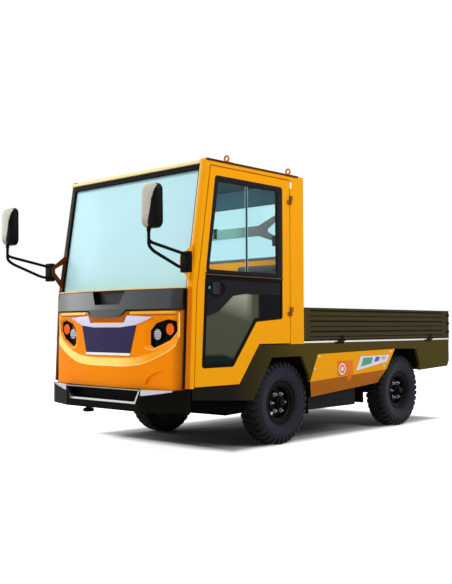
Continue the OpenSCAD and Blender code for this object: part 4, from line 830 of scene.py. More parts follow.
tyreSize = {
    "radius": 0.338, "pitches": 36, "steps": 108,
    "carcass": [
        (0.155, 0.058), (0.173, 0.060), (0.178, 0.073), (0.186, 0.079), (0.194, 0.0795), (0.200, 0.083),
        (0.216, 0.0875), (0.236, 0.0915), (0.252, 0.093), (0.258, 0.0945), (0.264, 0.0925), (0.282, 0.0895),
        (0.300, 0.083), (0.314, 0.073), (0.322, 0.058), (0.325, 0.03),
    ],
    "lug": [
        (0.320, 0.030), (0.3374, 0.030), (0.3374, 0.058), (0.3335, 0.073), (0.324, 0.084), (0.300, 0.0935),
        (0.282, 0.0945), (0.284, 0.086), (0.304, 0.076), (0.316, 0.066),
    ],
    "lugHalf": 0.0185, "middle": (0.005, 0.026), "middleHalf": 0.021, "middleRise": (0.318, 0.3372),
}
wheels = {
    "front_left": (0.661, axleY, 1), "front_right": (-0.661, axleY, -1),
    "rear_left": (0.661, axleY + wheelBase, 1), "rear_right": (-0.661, axleY + wheelBase, -1),
}


def makeTyre():
    half = tyreSize["carcass"]
    count, lugHalf, middleHalf = tyreSize["pitches"], tyreSize["lugHalf"], tyreSize["middleHalf"]
    section = [(w, 0, r) for r, w in half] + [(-w, 0, r) for r, w in reversed(half)]
    carcass = plate(section, "NOTHING")
    pick(carcass, lambda place, way: True, "EDGE")
    bpy.ops.mesh.spin(steps=tyreSize["steps"], angle=2 * math.pi, center=(0, 0, 0), axis=(1, 0, 0))
    faceOut(carcass, 0.0001)
    blocks = []
    for side, word in bothSides:
        lug = plate([(w * side, -lugHalf, r) for r, w in tyreSize["lug"]])
        thicken(lug, (0, 2 * lugHalf, 0))
        bevelAll(lug, 0.0022, 1)
        editAll(lug)
        step = side * math.pi / count / 2  # the two shoulders' lugs are half a pitch apart
        bpy.ops.transform.rotate(value=-step, orient_axis="X", center_override=(0, 0, 0))
        mode("OBJECT")
        low, high = sorted(side * x for x in tyreSize["middle"])
        inner, outer = tyreSize["middleRise"]
        button = block((low, -middleHalf, inner), (high, middleHalf, outer), 0.003, 1)
        pick(button, lambda place, way: place.z > 0.33, "VERT")
        move((0, 0.006 * side, 0))
        mode("OBJECT")
        blocks += [lug, button]
    tread = join(blocks)
    editAll(tread)
    bpy.ops.mesh.spin(
        steps=count - 1, dupli=True, angle=2 * math.pi * (count - 1) / count,
        center=(0, 0, 0), axis=(1, 0, 0))
    mode("OBJECT")
    tyre = join([carcass, tread])
    smooth(32)
    return tyre


nutSize = {"count": 6, "ring": 0.076, "flat": 0.0125, "seat": 0.0365, "height": 0.015, "stud": 0.0068}


def makeNuts():
    bits = []
    middle = nutSize["seat"] + nutSize["height"] / 2
    for a, b in circle(nutSize["count"]):
        y, z = nutSize["ring"] * a, nutSize["ring"] * b
        bits.append(drum((nutSize["seat"] + 0.0015, y, z), 0.0165, 0.004, "X", 24, 0.0006, 1))
        bits.append(drum((middle + 0.003, y, z), nutSize["flat"], nutSize["height"], "X", 6, 0.0012, 1))
        bits.append(drum((middle + 0.012, y, z), nutSize["stud"], 0.018, "X", 12, 0.001, 1))
    return join(bits)


def makeCap():  # domed hub cap with a rolled edge
    cap = drum((0.078, 0, 0), 0.037, 0.012, "X", 40)
    pick(cap, facing("X"))
    bpy.ops.mesh.inset(thickness=0.006)
    bpy.ops.mesh.extrude_region_move(TRANSFORM_OT_translate={"value": (0.008, 0, 0)})
    bpy.ops.mesh.inset(thickness=0.008)
    move((0.004, 0, 0))
    mode("OBJECT")
    bevelAll(cap, 0.0015)
    spots = [(0.085, 0.032 * math.cos(a), 0.032 * math.sin(a)) for a in (0.5, 2.6, 4.7)]
    return join([cap] + [drum(spot, 0.0032, 0.004, "X", 6) for spot in spots])


tyreFirst, nutsFirst, capFirst = makeTyre(), makeNuts(), makeCap()
for where, (x, y, side) in wheels.items():
    tread = rubber[where.split("_")[0]]
    for first, kind, material, slot, gone in (
        (tyreFirst, "tyreTread_", tread, "tyre_rubber", ("tyre_" + where,)),
        (nutsFirst, "wheelNuts_", nutSilver, "rim_black", ()),
        (capFirst, "hubCap_", rimBlack, "rim_black", ()),
    ):
        piece = copyOf(first, (x, y, tyreSize["radius"]), (0, 0, 0 if side > 0 else 180))
        done(piece, kind + where, "wheel_" + where, material, gone)
for first in (tyreFirst, nutsFirst, capFirst):
    remove(first)
print("wheels modelled")


# front: smile ledge, brow lip, wing trim, plate strip, lamps

front = {
    "recess": 0.0142,
    "smileOut": [
        (0.0, 0.659), (0.16, 0.659), (0.25, 0.663), (0.33, 0.671), (0.40, 0.684), (0.47, 0.706),
        (0.55, 0.738), (0.62, 0.770), (0.68, 0.806), (0.707, 0.832), (0.722, 0.870), (0.722, 1.056),
    ],
    "smileIn": [
        (0.0, 0.720), (0.155, 0.720), (0.242, 0.722), (0.318, 0.728), (0.384, 0.739), (0.452, 0.757),
        (0.530, 0.785), (0.598, 0.815), (0.655, 0.846), (0.684, 0.872), (0.703, 0.905), (0.711, 1.055),
    ],
    "brow": {"z": 1.053, "x": (0.722, 0.600, 0.480, 0.360, 0.268)},
    "browSection": [  # (height, depth)
        (0.018, 0.0125), (0.015, 0.004), (0.008, 0.0005), (-0.004, 0.0015), (-0.014, 0.006),
        (-0.0205, 0.0135), (0.0, 0.0142),
    ],
    "notch": [  # (x, height) of its deep edge and of its front edge
        (-0.262, 1.072, -0.236, 1.072), (-0.246, 1.04, -0.212, 1.05), (-0.206, 0.988, -0.150, 1.027),
        (0.206, 0.988, 0.150, 1.027), (0.246, 1.04, 0.212, 1.05), (0.262, 1.072, 0.236, 1.072),
    ],
    "wing": [
        (0.490, 1.028), (0.234, 1.041), (0.202, 0.984), (0.0, 0.984), (-0.202, 0.984), (-0.234, 1.041),
        (-0.490, 1.028), (-0.400, 0.993), (-0.322, 0.968), (-0.160, 0.951), (0.160, 0.951), (0.322, 0.968),
        (0.400, 0.993),
    ],
    "strip": [(-0.266, 0.758), (0.266, 0.758), (0.262, 0.739), (-0.262, 0.739)],
    "lamps": {"clear": (0.509, 0.898, 0.0455), "amber": (0.621, 0.937, 0.0475)},  # (x, height, radius)
}


def cornerDepth(x):  # how far the front's rounded upright edge falls back
    past = max(0.0, abs(x) - 0.687)
    return 0.055 - math.sqrt(0.055 ** 2 - past ** 2)


def eased(line):  # a line of (x, z) whose corners are cut twice
    points = [Vector(point) for point in line]
    for _ in range(2):
        cut = [points[0]]
        for first, last in zip(points, points[1:]):
            cut += [first.lerp(last, 0.25), first.lerp(last, 0.75)]
        points = cut + [points[-1]]
    return points


def acrossNose(half):  # a half line of (x, z), and its mirror image ahead of it
    return [Vector((-p.x, p.y)) for p in reversed(half[1:])] + list(half)


def resample(line, gap):  # adds points so that no stretch is longer than the gap
    points = [line[0]]
    for first, last in zip(line, line[1:]):
        count = max(1, math.ceil((last - first).length / gap))
        points += [first.lerp(last, k / count) for k in range(1, count + 1)]
    return points


def bead(line, depthOf, half, rise):  # a small raised line on the bulged front; line is (x, z)
    rows = []
    for across, lift in ((-half, 0.0), (-half / 2, rise), (half / 2, rise), (half, 0.0), (0.0, -0.0012)):
        row = []
        for i, point in enumerate(line):
            way = (line[min(i + 1, len(line) - 1)] - line[max(i - 1, 0)]).normalized()
            spot = point + Vector((-way.y, way.x)) * across
            row.append(onNose(spot.x, spot.y, depthOf(spot.x) - lift))
        rows.append(row)
    piece = ribbon(rows)
    smooth(40)
    return piece


def noseRows(*lines):  # rows of points on the front, each from a line of (x, z) and a depth, or its rule
    rule = lambda depth, x: depth(x) if callable(depth) else depth
    return [[onNose(p.x, p.y, rule(depth, p.x)) for p in line] for line, depth in lines]


outer, inner = acrossNose(eased(front["smileOut"])), acrossNose(eased(front["smileIn"]))
recess = front["recess"]
ledge = ribbon(noseRows(
    (outer, lambda x: cornerDepth(x) - 0.0006), (inner, recess - 0.0008),
    (inner, recess), (outer, lambda x: cornerDepth(x) + 0.0006)))
smooth(25)
done(ledge, "smileLedge", "root", ledgeHighlight)
edge = bead(outer, lambda x: cornerDepth(x) - 0.0004, 0.0032, 0.0016)
done(edge, "smileEdge", "root", edgeHighlight)

for side, word in bothSides:
    brow = ribbon([
        [onNose(side * x, front["brow"]["z"] + height, deep + cornerDepth(x)) for x in front["brow"]["x"]]
        for height, deep in front["browSection"]
    ])
    smooth(50)
    done(brow, "browLip" + word, "root", noseOrange)

notchBack = [Vector((a, b)) for a, b, c, d in front["notch"]]
notchFront = [Vector((c, d)) for a, b, c, d in front["notch"]]
under = ribbon(noseRows((notchFront, 0.001), (notchBack, 0.0135), (notchBack, 0.0215), (notchFront, 0.0215)))
done(under, "notchShade", "root", shadeOrange)

wing = noseSheet(front["wing"], 0.0138, 0.0088, 20)
bevelAll(wing, 0.0015, 2)
done(wing, "wingTrim", "root", lavender)
strip = noseSheet(front["strip"], 0.0138, 0.008, 10)
bevelAll(strip, 0.002, 2)
done(strip, "plateStrip", "root", whitePaint)
for kind, material in (("clear", lampClear), ("amber", lampAmber)):
    x, z, radius = front["lamps"][kind]
    y = noseY(x, 0.036)
    lens = drum((x, y + 0.007, z), radius - 0.004, 0.014, "Y", 40)
    press(lens, facing("Y", -1), (radius * 0.22, (0, -0.004, 0)), (radius * 0.3, (0, -0.0025, 0)))
    smooth(40)
    rims = [[(x + r * a, y - 0.0025, z + r * b) for a, b in circle(40)] for r in (radius, radius - 0.005)]
    bezel = ring(*rims, (0, 0.016, 0))
    bevelAll(bezel, 0.0012, 1)
    pair(lens, kind + "Lens", "root", material, (kind + "_lamps",))
    pair(bezel, kind + "Bezel", "root", rimBlack)
print("front face modelled")


# the fascia again, with sloped cheeks round the lamps

fasciaCuts = {
    "lampWide": [
        (0.398, 0.935), (0.452, 1.004), (0.600, 1.024), (0.700, 1.006), (0.708, 0.918), (0.642, 0.848),
        (0.482, 0.786), (0.412, 0.806),
    ],
    "lampHole": [
        (0.452, 0.925), (0.505, 0.980), (0.613, 1.008), (0.684, 0.994), (0.690, 0.922), (0.632, 0.861),
        (0.484, 0.800), (0.452, 0.822),
    ],
    "lip": [
        (0.408, 0.802), (0.446, 0.791), (0.482, 0.7845), (0.56, 0.8115), (0.644, 0.8465), (0.684, 0.889),
        (0.7085, 0.921),
    ],
}
shell = copyOf(nodes["fascia"])
for key in list(shell.keys()):
    del shell[key]
faceOut(shell)


def taper(wide, wideDepth, tight, tightDepth, side):  # a plug that narrows from one outline to another
    outlines = ((wide, wideDepth), (tight, tightDepth))
    plug = join([plate([onNose(side * x, z, depth) for x, z in outline]) for outline, depth in outlines])
    editAll(plug)
    bpy.ops.mesh.delete(type="ONLY_FACE")
    selectAll()
    bpy.ops.mesh.bridge_edge_loops()
    return fillEnds(plug)


def carve(piece, tool):
    apply(piece, "BOOLEAN", operation="DIFFERENCE", solver="EXACT", object=tool)
    remove(tool)


carve(shell, ribbon(noseRows(
    (outer, lambda x: cornerDepth(x) - 0.0002), (outer, lambda x: cornerDepth(x) - 0.012),
    (inner, -0.012), (inner, recess - 0.0003))))
for side, word in bothSides:
    carve(shell, taper(fasciaCuts["lampWide"], 0.012, fasciaCuts["lampHole"], 0.0305, side))
use(shell)
smooth(12)
apply(shell, "WEIGHTED_NORMAL", keep_sharp=True)
done(shell, "fasciaShell", "root", noseOrange, ("fascia",))
for side, word in bothSides:
    lipLine = resample([Vector((side * x, z)) for x, z in fasciaCuts["lip"]], 0.03)
    if side < 0:
        lipLine.reverse()
    lip = bead(lipLine, lambda x: recess - 0.0004, 0.0026, 0.0012)
    done(lip, "lampLip" + word, "root", edgeHighlight)
print("fascia carved", len(shell.data.polygons))


# cab: window rubbers, door panes, handles, roof gutters, linings

doorPane = {
    "upper": [(-0.835, 2.077), (-0.052, 2.077), (-0.052, 1.350), (-0.938, 1.350)],
    "upperIn": [(-0.797, 2.034), (-0.124, 2.034), (-0.120, 1.376), (-0.900, 1.374)],
    "lower": [
        (-0.944, 1.326), (-0.056, 1.326), (-0.056, 1.014), (-0.376, 0.991), (-0.642, 0.654), (-0.980, 0.652),
    ],
    "lowerIn": [
        (-0.912, 1.300), (-0.082, 1.300), (-0.082, 1.040), (-0.392, 1.020), (-0.660, 0.684), (-0.945, 0.684),
    ],
    "frit": [
        (-0.940, 1.322), (-0.060, 1.322), (-0.060, 1.205), (-0.514, 1.203), (-0.640, 1.185), (-0.800, 1.066),
        (-0.900, 1.036), (-0.9505, 1.03),
    ],
    "divider": -0.482, "handle": (-0.826, 1.236), "handleSize": (0.100, 0.0635),
}


def doorPieces():  # everything on the left door, with its name, material and slot
    made = []

    def add(piece, name, material, slot="black_plastic", bevel=0.0):
        if bevel:
            bevelAll(piece, bevel)
        made.append((piece, name, material, slot))

    upper, lower = (doorPane["upper"], doorPane["upperIn"]), (doorPane["lower"], doorPane["lowerIn"])
    add(sideSheet(upper[0], 0.7915, 0.7965, 0.026), "upperPane", sideGlass, "clear_glass")
    add(sideSheet(lower[0], 0.7955, 0.8005, 0.026), "lowerPane", lowGlass, "clear_glass")
    add(sideRing(*upper, 0.7962, 0.8035, 0.026, 0.018), "upperRubber", frit, bevel=0.0015)
    add(sideRing(*upper, 0.784, 0.7918, 0.026, 0.018), "innerRubber", blackPlastic)
    add(sideRing(*lower, 0.8000, 0.8045, 0.026, 0.02), "lowerRubber", blackPlastic, bevel=0.0012)
    add(sideSheet(doorPane["frit"], 0.8003, 0.8028), "lowerFrit", frit)
    add(placed((0.8045, 0.8072), (-0.9405, -0.054), (1.3165, 1.354), 0.001), "doorRail", blackPlastic)
    line = placed((0.8065, 0.8095), (-0.938, -0.056), (1.3325, 1.3405), 0.0012)
    add(line, "doorRailLine", bronze, "cast_steel")
    y = doorPane["divider"]
    bar = placed((0.7955, 0.8030), (y - 0.0065, y + 0.0065), (1.373, 2.036), 0.0015)
    add(bar, "paneDivider", dividerTeal)
    for name, low in (("paneEdgeFront", y - 0.0165), ("paneEdge", y + 0.0115)):
        edge = placed((0.7962, 0.7978), (low, low + 0.005), (1.374, 2.034), 0.0006, 1)
        add(edge, name, paneWhite, "clear_glass")
    middle, (halfY, halfZ) = doorPane["handle"], doorPane["handleSize"]
    rims = [sideOval(0.8058, middle, half) for half in ((halfY, halfZ), (0.86 * halfY, 0.84 * halfZ))]
    add(ring(*rims, (-0.004, 0, 0)), "handleRing", blackPlastic, bevel=0.001)
    well = plate(sideOval(0.8034, middle, (0.87 * halfY, 0.85 * halfZ)))
    add(thicken(well, (-0.002, 0, 0)), "handleWell", linerBlack)
    y, z = middle
    paddle = placed((0.8030, 0.8092), (y - 0.042, y + 0.036), (z - 0.043, z + 0.047), 0.0022, 3)
    press(paddle, lambda place, way: way.x > 0.9 and place.x > 0.809, (0.01, (-0.0028, 0, 0)))
    add(paddle, "handlePaddle", handleGrey)
    key = drum((0.8062, y + axleY - 0.074, z + 0.004), 0.0105, 0.006, "X", 24, 0.0015)
    press(key, facing("X"), (0.004, (-0.001, 0, 0)))
    add(key, "doorKey", keyGreen)
    return made


for piece, name, material, slot in doorPieces():
    smooth(30)
    pair(piece, name, "door_leaf_left", material, ("door_glass_left",) if name == "upperPane" else ())
print("doors dressed")


def pillarY(z, back=0.0):  # the length of the pillar's front edge at a height, or of a place behind it
    if z < 1.22:
        return -1.112 + 0.028 * (z - 0.512) / 0.708 + axleY + back
    return -1.084 + 0.149 * (z - 1.22) / 0.97 + axleY + back


pillarRubbers = {  # heights, and the section as (width, depth behind the pillar's edge)
    "screenRubber": {
        "paint": blackPlastic, "heights": (1.244, 1.5, 1.8, 2.1145),
        "section": ((0.7502, -0.001), (0.7415, 0.002), (0.7415, 0.0205), (0.7502, 0.0205)),
    },
    "noseRubber": {
        "paint": linerBlack, "heights": (0.514, 0.8, 1.05, 1.2265),
        "section": (
            (0.7448, -0.0035), (0.7665, -0.0035), (0.7665, 0.0005), (0.7500, 0.0005), (0.7500, 0.030),
            (0.7448, 0.030),
        ),
    },
}
header = {  # places across, and the section as (height on the pillar, depth behind it, height above that)
    "rubberAcross": (-0.7495, -0.4, 0.0, 0.4, 0.7495),
    "rubber": (
        (2.114, -0.0005, -0.0035), (2.114, -0.0035, 0.0), (2.152, -0.0035, 0.0), (2.152, 0.003, 0.002),
        (2.114, 0.003, 0.0), (2.114, 0.0195, 0.0), (2.114, 0.0195, -0.0035),
    ),
    "lipAcross": (-0.79, -0.4, 0.0, 0.4, 0.7485),
    "lip": (
        (2.152, 0.001, 0.001), (2.152, -0.005, 0.002), (2.152, -0.009, 0.012), (2.152, -0.006, 0.024),
        (2.152, 0.004, 0.032), (2.152, 0.02, 0.032), (2.152, 0.02, 0.001),
    ),
    "sill": ((1.2395, 0.0215), (1.2395, 0.0200), (1.2432, 0.0200), (1.2436, 0.034), (1.2405, 0.034)),
}
for side, word in bothSides:
    for name, strip in pillarRubbers.items():
        rows = [[(side * x, pillarY(z, back), z) for z in strip["heights"]] for x, back in strip["section"]]
        done(ribbon(rows), name + word, "root", strip["paint"])
for kind, name, material, slot in (
    ("rubber", "headerRubber", blackPlastic, "black_plastic"),
    ("lip", "headerLip", headerBlackAndHighlight, "body_yellow"),
):
    piece = ribbon([
        [(x, pillarY(z, back), z + lift) for x in header[kind + "Across"]] for z, back, lift in header[kind]])
    if kind == "lip":
        smooth(50)
    done(piece, name, "root", material)
spans = [-0.738 + 0.0615 * i for i in range(25)]
sill = ribbon([[onNose(x, z, deep) for x in spans] for z, deep in header["sill"]])
done(sill, "screenSill", "root", sillHighlight)

for side, word in bothSides:
    gutter = placed((side * 0.793, side * 0.8115), (-0.925, 0.150), (2.177, 2.1945), 0.004)
    press(gutter, facing("Z"), (0.004, (0, 0, -0.003)))
    done(gutter, "roofGutter" + word, "root", gutterShade)
    patch = placed((side * 0.8045, side * 0.8075), (0.040, 0.064), (2.080, 2.130))
    done(patch, "sidePatch" + word, "root", whitePaint)
liner = placed((-0.745, 0.745), (-0.86, 0.178), (2.1495, 2.1575), 0.003)
done(liner, "headliner", "root", liningGrey)


def rectangle(half, low, high):
    return [(-half, low), (half, low), (half, high), (-half, high)]


def acrossCab(y, outline):  # puts an outline of (x, z) at a length
    return [(x, y + axleY, z) for x, z in outline]


rearLining = ring(
    acrossCab(0.1795, rectangle(0.762, 1.42, 2.15)), acrossCab(0.1795, rectangle(0.60, 1.53, 2.003)),
    (0, -0.003, 0))
pick(rearLining, lambda place, way: place.z < 2.002)
bpy.ops.mesh.delete(type="FACE")
fillEnds(rearLining)
done(rearLining, "rearLining", "root", liningGrey)
seal = ring(
    acrossCab(0.2236, rounded(rectangle(0.626, 1.521, 2.029), 0.060)),
    acrossCab(0.2236, rounded(rectangle(0.599, 1.548, 2.002), 0.040)), (0, 0.006, 0))
bevelAll(seal, 0.002)
done(seal, "rearWindowSeal", "root", blackPlastic)

eyes = {"x": 0.785, "at": (("Front", -0.690), ("Rear", 0.045)), "low": 2.1895, "bolts": (0.032, 0.060)}
for side, word in bothSides:
    for end, ahead in eyes["at"]:
        x, z = eyes["x"], eyes["low"]
        across, lengthwise = (side * (x - 0.021), side * (x + 0.0075)), (ahead - 0.026, ahead + 0.074)
        foot = placed(across, lengthwise, (z, z + 0.0075), 0.0025)
        spots = [(side * (x - 0.006), ahead + axleY + gap, z + 0.0105) for gap in eyes["bolts"]]
        bolts = [drum(spot, 0.0075, 0.0075, "Z", 6, 0.001, 1) for spot in spots]
        done(join([foot] + bolts), "eyeFoot" + end + word, "root", eyeOrange)
for x, z, name in ((-0.137, 1.788, "braceClipA"), (0.551, 1.678, "braceClipB")):
    clip = placed((x - 0.020, x + 0.020), (0.1405, 0.1615), (z - 0.045, z + 0.045), 0.003)
    press(clip, facing("Y", -1), (0.005, (0, -0.003, 0)))
    done(clip, name, "root", blackPlastic)
shelf = placed((-0.622, 0.622), (0.1725, 0.1797), (1.526, 1.547), 0.0025)
done(shelf, "windowLedge", "root", ledgeGrey)
print("cab dressed")


# inside the cab: seats, meter hood, switches, pedals, brake lever

seats = {
    "voxel": 0.009, "pressure": 4.0, "steps": 20, "cap": 0.009, "inset": 0.008, "fill": 0.7,
    "channel": 0.006, "reach": 0.016, "spacing": 0.135, "piping": 0.0042,
    "headLow": (0.166, 0.080 + axleY, 1.410), "headHigh": (0.614, 0.156 + axleY, 1.4785),
}


def swell(pad, low, high):  # cloth under pressure on an even mesh, its bulge capped and kept in its space
    apply(pad, "REMESH", mode="VOXEL", voxel_size=seats["voxel"])
    starts = [corner.co.copy() for corner in pad.data.vertices]
    cloth = pad.modifiers.new("cloth", "CLOTH")
    cloth.settings.use_pressure = True
    cloth.settings.uniform_pressure_force = seats["pressure"]
    cloth.settings.effector_weights.gravity = 0
    cloth.point_cache.frame_start = 1
    cloth.point_cache.frame_end = seats["steps"]
    for step in range(1, seats["steps"] + 1):
        bpy.context.scene.frame_set(step)
    bpy.ops.object.modifier_apply(modifier=cloth.name)
    bpy.context.scene.frame_set(1)
    for corner, start in zip(pad.data.vertices, starts):
        shift = corner.co - start
        if shift.length > seats["cap"]:
            shift *= seats["cap"] / shift.length
        corner.co = [min(max(value, least), most) for value, least, most in zip(start + shift, low, high)]
    apply(pad, "SUBSURF", levels=1, render_levels=1)


def sewn(pad, lines, faces, push):  # presses the sewn channels into the side that faces the sitter
    for corner in pad.data.vertices:
        gap = min(abs(corner.co.x - line) for line in lines)
        if gap < seats["reach"] and faces(corner.co):
            corner.co += Vector(push) * seats["channel"] * (1 - gap / seats["reach"]) ** 2
    use(pad)
    smooth(70)


inset = seats["inset"]
for node, name, flatAxis, push in (
    ("seat_cushion_left", "seatPad", 1, (0, 0, -1)), ("seat_back_left", "seatRest", 2, (0, 1, 0)),
):
    low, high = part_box(node)
    middle = (low + high) / 2
    rests = Vector((inset, inset, 0.0 if flatAxis == 1 else inset))
    pad = block(low + rests, high - Vector((inset, inset, inset)), 0.028, 4)
    swell(pad, low, high)
    lines = (middle.x - seats["spacing"] / 2, middle.x + seats["spacing"] / 2)
    sewn(pad, lines, lambda p: p.z > middle.z if flatAxis == 1 else p.y < middle.y, push)
    first, last = low[flatAxis], high[flatAxis]
    flat = [(low.x, first), (high.x, first), (high.x, last), (low.x, last)]
    seam = []
    for spot in rounded(flat, 0.05, 6):
        near = (spot.x, spot.y, high.z - 0.024) if flatAxis == 1 else (spot.x, low.y + 0.022, spot.y)
        found, place, way, face = pad.closest_point_on_mesh(Vector(near))
        seam.append(place + way * 0.0012)
    piping = tube(seam + seam[:1], seats["piping"], 8)
    for piece in pair(pad, name, "root", seatCloth, (node,)):
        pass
    pair(piping, name + "Piping", "root", seatVinyl)
low, high = Vector(seats["headLow"]), Vector(seats["headHigh"])
middle = (low + high) / 2
headPad = block(low + Vector((0.006, 0.006, 0.002)), high - Vector((0.006, 0.006, 0.006)), 0.024, 4)
swell(headPad, low, high)
sewn(headPad, (middle.x,), lambda p: p.y < middle.y, (0, 1, 0))
for piece in pair(headPad, "seatHead", "root", seatCloth):
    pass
print("seats made")

controls = {
    "hood": ((0.272, 0.488), (-0.988, -0.906), (1.196, 1.286)),
    "meter": ((0.290, 0.470), (-0.9085, -0.9035), (1.232, 1.278)),
    "switches": (-0.14, -0.085, -0.03, 0.025, 0.08), "vents": (-0.60, -0.34, 0.62),
    "slats": (-0.014, -0.005, 0.005, 0.014), "face": (-0.8852, 1.156), "lean": 22.6,
    "pedals": (0.285, 0.43), "ribs": (-0.03, -0.01, 0.01, 0.03), "lever": (0.045, -0.295),
}
hood = placed(*controls["hood"], 0.016, 4)
pick(hood, lambda place, way: place.y > -0.93 + axleY and place.z < 1.25, "VERT")
move((0, 0.012, 0))
mode("OBJECT")
done(hood, "meterHood", "root", dashBlack)
done(placed(*controls["meter"], 0.0015), "meterGlass", "root", meterGlass)
faceY, faceZ = controls["face"][0] + axleY, controls["face"][1]
bits = []
for x in controls["switches"]:
    rocker = block((-0.017, -0.003, -0.021), (0.017, 0.006, 0.021), 0.002)
    press(rocker, facing("Y"), (0.003, (0, -0.002, 0)))
    bits.append(seat(rocker, (x, faceY, faceZ), (controls["lean"], 0, 0)))
done(join(bits), "dashSwitches", "root", blackPlastic)
bits = []
for x in controls["vents"]:
    vent = drum((0, 0, 0), 0.034, 0.010, "Y", 32)
    press(vent, facing("Y"), (0.006, (0, -0.006, 0)))
    slats = [
        block((-0.026, -0.004, z - 0.0015), (0.026, 0.003, z + 0.0015), 0.0005, 1) for z in controls["slats"]]
    bits.append(seat(join([vent] + slats), (x, faceY + 0.001, faceZ), (controls["lean"], 0, 0)))
done(join(bits), "dashVents", "root", blackPlastic)
bits = []
for x in controls["pedals"]:
    tread = block((-0.036, -0.006, -0.046), (0.036, 0.006, 0.046), 0.004, 3)
    ribs = [block((-0.030, 0.005, z - 0.004), (0.030, 0.009, z + 0.004), 0.0015, 1) for z in controls["ribs"]]
    bits.append(seat(join([tread] + ribs), (x, -0.955 + axleY, 0.640), (35, 0, 0)))
    arm = ((-0.960, 0.645), (-0.985, 0.74), (-0.995, 0.86), (-0.985, 1.015))
    bits.append(tube([(x, y + axleY, z) for y, z in arm], 0.008, 12))
done(join(bits), "pedals", "root", gripBlack)
x, y = controls["lever"]
base = placed((x - 0.03, x + 0.03), (y - 0.06, y + 0.06), (0.832, 0.862), 0.008, 3)
y += axleY
stalk = tube([(x, y + 0.02, 0.856), (x, y - 0.03, 0.93), (x, y - 0.06, 0.975)], 0.008, 12)
grip = tube([(x, y - 0.056, 0.969), (x, y - 0.105, 1.045)], 0.0145, 16)
done(join([base, stalk, grip]), "brakeLever", "root", gripBlack)
print("cab interior made")


# bumper trim, mirrors, side trim, bed fittings

bumper = {  # lip is (line, depth, height above it), cap is (depth, height, share of the drop)
    "front": -1.252, "half": 0.440, "cornerX": 0.711, "cornerY": -1.170,
    "lipOut": [(0.438, 0.487), (0.391, 0.391), (-0.391, 0.391), (-0.438, 0.487)],
    "lipIn": [(0.425, 0.487), (0.381, 0.407), (-0.381, 0.407), (-0.425, 0.487)],
    "lip": (
        ("lipOut", -0.0015, 0.0), ("lipOut", -0.005, 0.003), ("lipIn", -0.002, 0.0), ("lipIn", 0.026, 0.0),
        ("lipOut", 0.026, 0.0),
    ),
    "capAcross": ((0.447, 0.046), (0.50, 0.040), (0.56, 0.032), (0.63, 0.022), (0.70, 0.010)),  # (x, drop)
    "cap": (
        (-0.0012, 0.4985, 1), (-0.0040, 0.5005, 1), (-0.0035, 0.4955, 0), (0.0040, 0.4995, 0),
        (0.030, 0.4985, 0), (0.030, 0.4955, 0), (0.002, 0.490, 0.5),
    ),
    "topAcross": (-0.436, -0.2, 0.0, 0.2, 0.436),
    "top": (
        (-0.0006, 0.4895), (-0.0028, 0.4905), (-0.0028, 0.4955), (0.0, 0.4972), (0.010, 0.4972),
        (0.010, 0.4955), (0.0, 0.4950),
    ),
}


def bumperY(x, back=0.0):  # the length of the bumper's front at a width, or of a place behind it
    past = max(0.0, abs(x) - bumper["half"]) / (bumper["cornerX"] - bumper["half"])
    return bumper["front"] + (bumper["cornerY"] - bumper["front"]) * past + axleY + back


lip = ribbon([
    [(x, bumperY(0, back), z + lift) for x, z in bumper[line]] for line, back, lift in bumper["lip"]])
done(lip, "bumperLip", "root", silver)
for side, word in bothSides:
    cap = ribbon([
        [(side * x, bumperY(x, back), z - drop * share) for x, drop in bumper["capAcross"]]
        for back, z, share in bumper["cap"]
    ])
    smooth(30)
    done(cap, "bumperCap" + word, "root", silver)
    seam = placed((side * 0.7995, side * 0.8025), (-1.100, -1.096), (0.338, 0.494), 0.0008)
    done(seam, "bumperSeam" + word, "root", linerBlack)
# the bumper's top line, coloured as a painted highlight
line = ribbon([[(x, bumperY(0, back), z) for x in bumper["topAcross"]] for back, z in bumper["top"]])
done(line, "bumperTopLine", "root", bumperHighlight)
knob = drum((-0.290, -1.150 + axleY, 0.300), 0.0435, 0.026, "Z", 40, 0.007, 3)
done(knob, "towKnob", "root", bumperBlack)

mirror = {  # rings are (depth, scale)
    "x": 0.861, "y": axleY - 1.556, "z": 1.772, "high": 0.306, "wide": 0.168, "tube": 0.0115,
    "clampX": 0.838, "clampY": axleY - 1.150, "bolts": (1.362, 1.413, 1.464),
    "head": (
        (0.0, 0.52), (0.004, 0.70), (0.011, 0.82), (0.024, 0.93), (0.042, 0.985), (0.060, 1.0),
        (0.0705, 0.985), (0.0715, 0.95), (0.067, 0.93),
    ),
    # the cap is a thin sheet that carries the painted reflection
    "cap": (
        (-0.0006, 0.50), (0.0030, 0.70), (0.0095, 0.80), (0.0165, 0.868), (0.0235, 0.925), (0.033, 0.958),
    ),
    "bend": (
        (0, 0, 0.01), (0, 0, -0.098), (-0.0006, 0.003, -0.112), (-0.0016, 0.012, -0.125),
        (-0.004, 0.030, -0.140), (-0.0075, 0.062, -0.1565),
    ),
}
mirrorX, mirrorY, mirrorZ = mirror["x"], mirror["y"], mirror["z"]
halfWide, halfHigh = mirror["wide"] / 2, mirror["high"] / 2
topWide = halfWide - 0.006
corners = [(-halfWide, -halfHigh), (halfWide, -halfHigh), (topWide, halfHigh), (-topWide, halfHigh)]
edge = rounded(corners, 0.048, 6)
headRows, reflectionRows = [], []
for back, scale in mirror["head"]:
    tall = 1 - (1 - scale) * 0.62
    row = [(mirrorX + p.x * scale, mirrorY + back, mirrorZ + p.y * tall) for p in edge]
    headRows.append(row + row[:1])
for back, scale in mirror["cap"]:
    row = []
    for p in edge + edge[:1]:
        x, z = p.x * scale, p.y * (1 - (1 - scale) * 0.62)
        x = min(x, 0.034 + 0.26 * z) - (0.0004 if x < 0 else 0.0)
        row.append((mirrorX + x, mirrorY + back, mirrorZ + z))
    reflectionRows.append(row)
